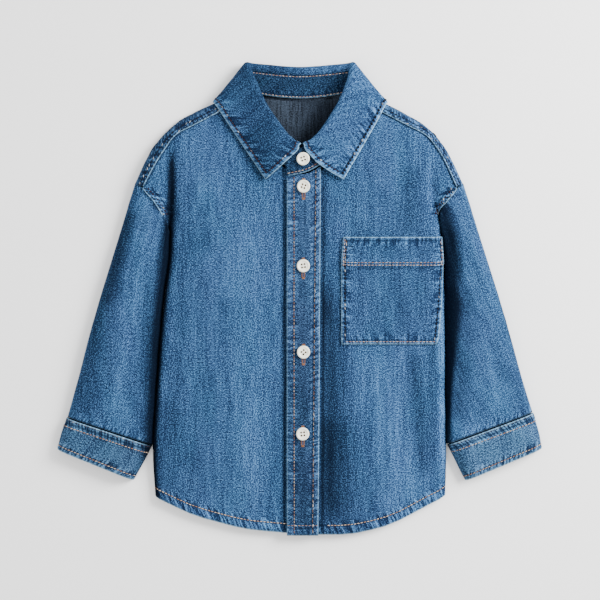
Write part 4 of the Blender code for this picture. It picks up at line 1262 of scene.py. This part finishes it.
class SHIRT_OT_collar(bpy.types.Operator):
    """Folds the collar's fall over its stand"""

    bl_idname = "shirt.collar"
    bl_label = "Collar"

    def execute(self, context):
        smooth = collar_points()
        seams = seam_map(smooth, "low_column", "low_row", "high_row")
        points = relief(smooth, seams, 81, 0.25, 0.40, 7.0)
        under = smooth[..., 2] < 1.0
        points[under] = smooth[under]
        points[..., 2] = np.maximum(points[..., 2], 0.0)
        lay("collar_cloth", "collar", points, weave_map(smooth)[..., ::-1], seams,
            shade_map(smooth, COLLAR_SHADES, creased=False),
            finishes("denim_collar", sewn=4.0, rope=2.0, wear=1.4, reach=15.0, turned=0.55))
        sew(points, "low_column", 4.0, (0.012, 0.5), "rust", thickness=0.60, slant=0.3)
        sew(points, "low_column", 3.4, (0.5, 0.988), "ink", 3.5, thickness=0.95, slant=0.8)
        for side in ("low_row", "high_row"):
            sew(points, side, 4.0, (0.12, 0.92), "rust", thickness=0.55, slant=0.3)

        stand = stand_points()
        # Its low tone, 0.36, paints the shade that falls on the stand inside the neck.
        face = material("denim_stand", denim, sewn=2.0, tone=0.36, wear=0.6)
        lay("stand_cloth", "collar_stand", stand, weave_map(stand)[..., ::-1],
            seam_map(stand, "high_column"), shade_map(stand, (), creased=False),
            (face, face, material("denim_edge", cut_edge)))
        sew(stand, "high_column", 1.2, (0.34, 0.66), "tan")
        sew(stand, "low_column", 1.0, (0.30, 0.70))
        sew(stand, "high_column", 2.4, (0.93, 0.998), through=WALL)
        return {"FINISHED"}


class SHIRT_OT_placket(bpy.types.Operator):
    """Lays the folded button band over the edges of the fronts"""

    bl_idname = "shirt.placket"
    bl_label = "Placket"

    def execute(self, context):
        t = np.linspace(0.0, 1.0, PLACKET_ROWS)[:, None]
        right = between(PLACKET_RIGHT[1], PLACKET_RIGHT[0], t)
        x = between(PLACKET_LEFT, right, np.linspace(0.0, 1.0, PLACKET_COLUMNS)[None, :])
        y = between(PLACKET_END, read(PLACKET_TOP, x), t)
        smooth = moved_out(x, y, SEAM_GAP + BAND_WALL)
        seams = seam_map(smooth, "low_column", "high_column", "low_row")
        points = relief(smooth, seams, 61, 0.12, 0.14, 6.0)
        lay("placket_cloth", "placket", points, plan_map(smooth), seams,
            shade_map(smooth, PLACKET_SHADES, creased=False),
            finishes("denim_placket", sewn=6.2, rope=1.3, shift=(1.10, 0.97, 0.94), wear=0.6,
                     lean=0.15), BAND_WALL)
        upright = (0.005, 1.0)
        sew(points, "low_column", 6.6, upright, thickness=0.24)
        sew(points, "high_column", 4.8, upright, "ink", thickness=0.40)
        sew(points, "high_column", 5.2, upright, pitch=4.6, thickness=0.20)
        sew(points, "low_row", 9.0)
        return {"FINISHED"}


class SHIRT_OT_pocket(bpy.types.Operator):
    """Sews the patch pocket, with its folded top band, to the left front"""

    bl_idname = "shirt.pocket"
    bl_label = "Pocket"

    def execute(self, context):
        low, high = POCKET_SIDES[0][0], POCKET_SIDES[-1][0]
        y = np.concatenate([np.linspace(low, POCKET_BAND - 0.6, 44),
                            np.linspace(POCKET_BAND + 0.4, high, 16)])[:, None]
        across = np.concatenate([np.linspace(0.0, 0.86, 46), np.linspace(0.875, 1.0, 12)])
        x = between(read(POCKET_SIDES, y, 1), read(POCKET_SIDES, y, 2), across)
        rise = np.where(y > POCKET_BAND, POCKET_BAND_RISE, 0.0)
        smooth = moved_out(x, np.repeat(y, len(across), 1), SEAM_GAP + POCKET_WALL + rise)
        seams = seam_map(smooth, "low_column", "high_column", "low_row", "high_row")
        points = relief(smooth, seams, 91, 0.25, 0.26, 6.0)
        pulled = np.exp(-((y - POCKET_BAND) / 6.0) ** 2)
        points[..., 2] += 0.16 * (pulled * np.sin(across * 62.0 + 1.5 * field(points, 8.0, 95)))
        lay("pocket_cloth", "pocket", points, plan_map(smooth), seams,
            shade_map(smooth, POCKET_SHADES, creased=False),
            finishes("denim_pocket", sewn=3.4, rope=1.9, reach=10.0, turned=0.10, lean=0.10),
            POCKET_WALL)
        for side in ("low_column", "high_column"):
            sew(points, side, 3.4, (0.03, 0.99), "ink", 3.4, thickness=0.56, slant=0.25)
            sew(points, side, 1.8, (0.72, 0.99), "tan")
            sew(points, side, 3.2, (0.72, 0.99), pitch=5.6)
        sew(points, "low_row", 2.4, (0.03, 0.97), thickness=0.32)
        for distance, thread in ((-1.0, "copper"), (1.4, "tan")):
            sew(points, "high_row", high - POCKET_BAND + distance, (0.01, 0.99), thread)
        return {"FINISHED"}


# ------------------------------------------------
# Sewing and buttons
# ------------------------------------------------

def stitch_template():
    """A short plump bar along X, one unit long and one thick."""
    mesh = bmesh.new()
    bmesh.ops.create_uvsphere(mesh, u_segments=6, v_segments=4, radius=0.5,
                              matrix=Matrix.Rotation(math.pi / 2, 4, "Y"))
    mesh.verts.ensure_lookup_table()
    points = np.array([vert.co[:] for vert in mesh.verts])
    faces = [[vert.index for vert in face.verts] for face in mesh.faces]
    mesh.free()
    return points, faces


def bars(name, placed, finish, tints):
    """One mesh of many thread bars: placed holds (centre, along, normal, length, thickness)."""
    points, faces = stitch_template()
    verts, all_faces, values = [], [], []
    for number, (centre, along, normal, length, thick) in enumerate(placed):
        axes = np.stack([along * length, np.cross(normal, along) * thick,
                         normal * thick * FLATTENED])
        verts.append(centre + points @ axes)
        base = number * len(points)
        all_faces += [[base + k for k in face] for face in faces]
        values += [tints[number]] * len(points)
    data = bpy.data.meshes.new(name)
    data.from_pydata((np.concatenate(verts) * MM).tolist(), [], all_faces)
    data.shade_smooth()
    data.attributes.new("tint", "FLOAT", "POINT").data.foreach_set("value", values)
    data.materials.append(finish)
    attach(linked(name, data))


def unit(vector):
    return vector / np.linalg.norm(vector)


def stitches_along(line, facing, pitch, thickness, slant, random):
    """The stitches of one row: (centre, along, normal, length, thickness)."""
    run = running(line)
    count = int(run[-1] / pitch)
    placed = []
    for k in range(count):
        middle = (k + 0.5) * run[-1] / count
        ends = [at(line, run, middle + d * pitch) for d in (-STITCH_REACH, STITCH_REACH)]
        normal = at(facing, run, middle)
        along = ends[1] - ends[0]
        length = np.linalg.norm(along)
        if length < 0.2 * pitch:
            continue
        along /= length
        normal -= along * normal.dot(along)
        normal /= max(np.linalg.norm(normal), 1e-9)
        tilt = slant + random.uniform(-STITCH_LEAN, STITCH_LEAN)
        along = unit(along + np.cross(normal, along) * tilt)
        centre = (ends[0] + ends[1]) / 2 + normal * thickness * 0.30
        centre[2] = max(centre[2], thickness)
        placed.append((centre, along, normal, pitch * random.uniform(*STITCH_LENGTH),
                       2 * thickness * random.uniform(0.9, 1.1)))
    return placed


class SHIRT_OT_stitches(bpy.types.Operator):
    """Sews every row of topstitching, stitch by stitch"""

    bl_idname = "shirt.stitches"
    bl_label = "Topstitching"

    def execute(self, context):
        thread = context.scene.shirt_thread
        for seed, look, other, power in ((100, "copper", "tan", 1.0), (101, "tan", "copper", 1.0),
                                         (102, "rust", "white", 5.0), (103, "ink", "white", 6.0)):
            random = np.random.default_rng(seed)
            placed, tints = [], []
            for line, facing, kind, *rest in SEWING:
                if kind == look:
                    row = stitches_along(line, facing, *rest, random)
                    placed += row
                    tints += list(random.uniform(0.0, 1.0, len(row)) ** power)
            finish = material(f"thread_{look}", thread_material, colour=getattr(thread, look),
                              other=getattr(thread, other))
            if placed:
                bars(f"topstitching_{look}", placed, finish, tints)
        return {"FINISHED"}


class SHIRT_OT_buttonholes(bpy.types.Operator):
    """Works the upright buttonholes in close satin bars"""

    bl_idname = "shirt.buttonholes"
    bl_label = "Buttonholes"

    def execute(self, context):
        thread = context.scene.shirt_thread
        random = np.random.default_rng(7)
        placed, tints = [], []
        face = SEAM_GAP + BAND_WALL
        for x, y, _ in BUTTONS[1:]:
            for row in np.arange(y - HOLE_BELOW, y + HOLE_ABOVE, HOLE_PITCH):
                end = row < y - HOLE_BELOW + HOLE_END or row > y + HOLE_ABOVE - HOLE_END
                for side in ((0.0,) if end else (-1.0, 1.0)):
                    spot = x + side * HOLE_SIDE
                    centre = moved_out(spot, row, face + HOLE_LIFT)
                    along = unit(moved_out(spot + 0.5, row, face + HOLE_LIFT) - centre)
                    normal = unit(np.cross(along, np.array([0.0, 1.0, 0.0])))
                    length = HOLE_WIDTH if end else 0.9
                    placed.append((centre, along, normal, length * random.uniform(0.92, 1.08),
                                   HOLE_PITCH))
                    tints.append(random.uniform(0.0, 0.8))
        bars("buttonhole_thread", placed,
             material("thread_buttonhole", thread_material, colour=(0.19, 0.085, 0.038),
                      other=thread.copper), tints)
        mesh = bmesh.new()
        size = Matrix.Diagonal((*(Vector(SLIT) * MM), 1))
        for x, y, _ in BUTTONS[1:]:
            seat = moved_out(x, y + (HOLE_ABOVE - HOLE_BELOW) / 2, face + SLIT_LIFT)
            bmesh.ops.create_cube(mesh, size=1.0,
                                  matrix=Matrix.Translation(Vector(seat) * MM) @ size)
        bmesh.ops.bevel(mesh, geom=mesh.edges[:], offset=0.1 * MM, segments=1, profile=0.5,
                        affect="EDGES", material=-1)
        dark = material("buttonhole_slit", slit_material)
        attach(linked("buttonhole_slits", mesh_data("buttonhole_slits", mesh, dark)))
        return {"FINISHED"}


def button_mesh(radius, height):
    """A turned disc with a raised rim and four drilled holes."""
    mesh = bmesh.new()
    line = [mesh.verts.new((r * radius, 0.0, h * height)) for r, h in BUTTON_PROFILE]
    edges = [mesh.edges.new(pair) for pair in zip(line[:-1], line[1:])]
    bmesh.ops.spin(mesh, geom=line + edges, cent=(0, 0, 0), axis=(0, 0, 1),
                   angle=2 * math.pi, steps=48, use_merge=True)
    bmesh.ops.remove_doubles(mesh, verts=mesh.verts[:], dist=0.005 * MM)
    bmesh.ops.recalc_face_normals(mesh, faces=mesh.faces[:])
    drill = bmesh.new()
    for quarter in range(4):
        angle = math.pi / 4 + quarter * math.pi / 2
        away = DRILL_AT * radius
        place = (away * math.cos(angle), away * math.sin(angle), height / 2)
        bmesh.ops.create_cone(drill, segments=14, radius1=DRILL_RADIUS * radius,
                              radius2=DRILL_RADIUS * radius, depth=height * 2, cap_ends=True,
                              matrix=Matrix.Translation(place))
    blank = linked("button_blank", mesh_data("button_blank", mesh))
    cutter = linked("button_drill", mesh_data("button_drill", drill))
    cut = blank.modifiers.new("Holes", "BOOLEAN")
    cut.operation = "DIFFERENCE"
    cut.object = cutter
    graph = bpy.context.evaluated_depsgraph_get()
    drilled = bpy.data.meshes.new_from_object(blank.evaluated_get(graph))
    for obj in (blank, cutter):
        bpy.data.objects.remove(obj, do_unlink=True)
    return drilled


class SHIRT_OT_buttons(bpy.types.Operator):
    """Turns and drills the buttons and ties them on with crossed thread"""

    bl_idname = "shirt.buttons"
    bl_label = "Buttons"

    def execute(self, context):
        settings = context.scene.shirt_buttons
        drilled = button_mesh(settings.radius, settings.height)
        ivory = material("ivory_button", button_material)
        up = np.array([0.0, 0.0, 1.0])
        placed, tints = [], []
        for number, (x, y, turn) in enumerate(BUTTONS, start=1):
            node = f"button_{number}"
            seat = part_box(node)[0][2]
            angle = math.radians(turn)
            data = drilled.copy()
            data.name = f"{node}_turned"
            data.materials.clear()
            data.materials.append(ivory)
            data.transform(Matrix.Translation((x * MM, y * MM, seat))
                           @ Matrix.Rotation(angle, 4, "Z"))
            data.shade_smooth()
            data.set_sharp_from_angle(angle=math.radians(38))
            button = linked(f"shirt_{node}", data)
            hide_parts(node)
            attach(button)
            along = np.array([math.cos(angle), math.sin(angle), 0.0])
            across = np.array([-along[1], along[0], 0.0]) * HOLE_APART
            middle = np.array([x, y, seat / MM + settings.height / MM * DISH])
            for side in (-1.0, 1.0):
                placed.append((middle + across * side, along, up, *CROSSING))
            for side, end in ((-1, -1), (-1, 1), (1, -1), (1, 1)):
                centre = middle - up + across * side + along * end * HOLE_APART
                placed.append((centre, up, along, *POST))
            tints += [0.5] * 2 + [0.2] * 4
        bars("button_thread", placed,
             material("thread_button", thread_material, colour=(0.10, 0.06, 0.03),
                      other=context.scene.shirt_thread.tan), tints)
        return {"FINISHED"}


# ------------------------------------------------
# Stage
# ------------------------------------------------

def area_light(name, place, size, power):
    """A square soft light that faces the middle of the shirt."""
    data = bpy.data.lights.new(name, "AREA")
    data.shape = "RECTANGLE"
    data.size = data.size_y = size
    data.energy = power
    light = linked(name, data)
    light.location = place
    light.rotation_euler = (-Vector(place)).to_track_quat("-Z", "Y").to_euler()


class SHIRT_OT_stage(bpy.types.Operator):
    """Sets the floor, the studio lights and the camera over the shirt"""

    bl_idname = "shirt.stage"
    bl_label = "Stage"

    def execute(self, context):
        settings = context.scene.shirt_stage
        mesh = bmesh.new()
        bmesh.ops.create_grid(mesh, x_segments=4, y_segments=4, size=4.0)
        bmesh.ops.translate(mesh, verts=mesh.verts[:], vec=(0.0, 0.0, FLOOR * MM))
        floor = linked("floor", mesh_data("floor", mesh, material("pale_floor", floor_material)))

        for light in LIGHTS:
            area_light(*light)
        world = bpy.data.worlds.new("studio")
        world.use_nodes = True
        background = world.node_tree.nodes["Background"].inputs
        background["Color"].default_value = (1.0, 1.0, 1.0, 1.0)
        background["Strength"].default_value = SKY
        context.scene.world = world

        data = bpy.data.cameras.new("camera")
        data.sensor_width = SENSOR
        data.lens = SENSOR * settings.distance / settings.frame_width
        camera = linked("camera", data)
        camera.location = Vector(AIM) * MM + Vector((0.0, 0.0, settings.distance))
        context.scene.camera = camera
        return {"FINISHED"}


class SHIRT_PT_panel(bpy.types.Panel):
    """Lists the pieces of the shirt"""

    bl_idname = "SHIRT_PT_panel"
    bl_label = "Denim Shirt"
    bl_space_type = "VIEW_3D"
    bl_region_type = "UI"
    bl_category = "Shirt"

    def draw(self, context):
        layout = self.layout
        for settings in (context.scene.shirt_cloth, context.scene.shirt_thread,
                         context.scene.shirt_buttons, context.scene.shirt_stage):
            box = layout.box()
            for name in settings.bl_rna.properties.keys():
                if name not in ("rna_type", "name"):
                    box.prop(settings, name)
        for operator in OPERATORS:
            layout.operator(operator.bl_idname)


OPERATORS = (SHIRT_OT_stage, SHIRT_OT_back, SHIRT_OT_fronts, SHIRT_OT_placket,
             SHIRT_OT_sleeves, SHIRT_OT_cuffs, SHIRT_OT_collar, SHIRT_OT_pocket,
             SHIRT_OT_stitches, SHIRT_OT_buttonholes, SHIRT_OT_buttons)
SETTINGS = (("shirt_cloth", ShirtClothSettings), ("shirt_thread", ShirtThreadSettings),
            ("shirt_buttons", ShirtButtonSettings), ("shirt_stage", ShirtStageSettings))


def register():
    for name, group in SETTINGS:
        bpy.utils.register_class(group)
        setattr(bpy.types.Scene, name, PointerProperty(type=group))
    for cls in OPERATORS + (SHIRT_PT_panel,):
        bpy.utils.register_class(cls)


def unregister():
    for cls in (SHIRT_PT_panel,) + OPERATORS[::-1]:
        bpy.utils.unregister_class(cls)
    for name, group in SETTINGS[::-1]:
        delattr(bpy.types.Scene, name)
        bpy.utils.unregister_class(group)


def main():
    register()
    bpy.ops.shirt.stage()
    bpy.ops.shirt.back()
    bpy.ops.shirt.fronts()
    bpy.ops.shirt.placket()
    bpy.ops.shirt.sleeves()
    bpy.ops.shirt.cuffs()
    bpy.ops.shirt.collar()
    bpy.ops.shirt.pocket()
    bpy.ops.shirt.stitches()
    bpy.ops.shirt.buttonholes()
    bpy.ops.shirt.buttons()


if __name__ == "__main__":
    main()
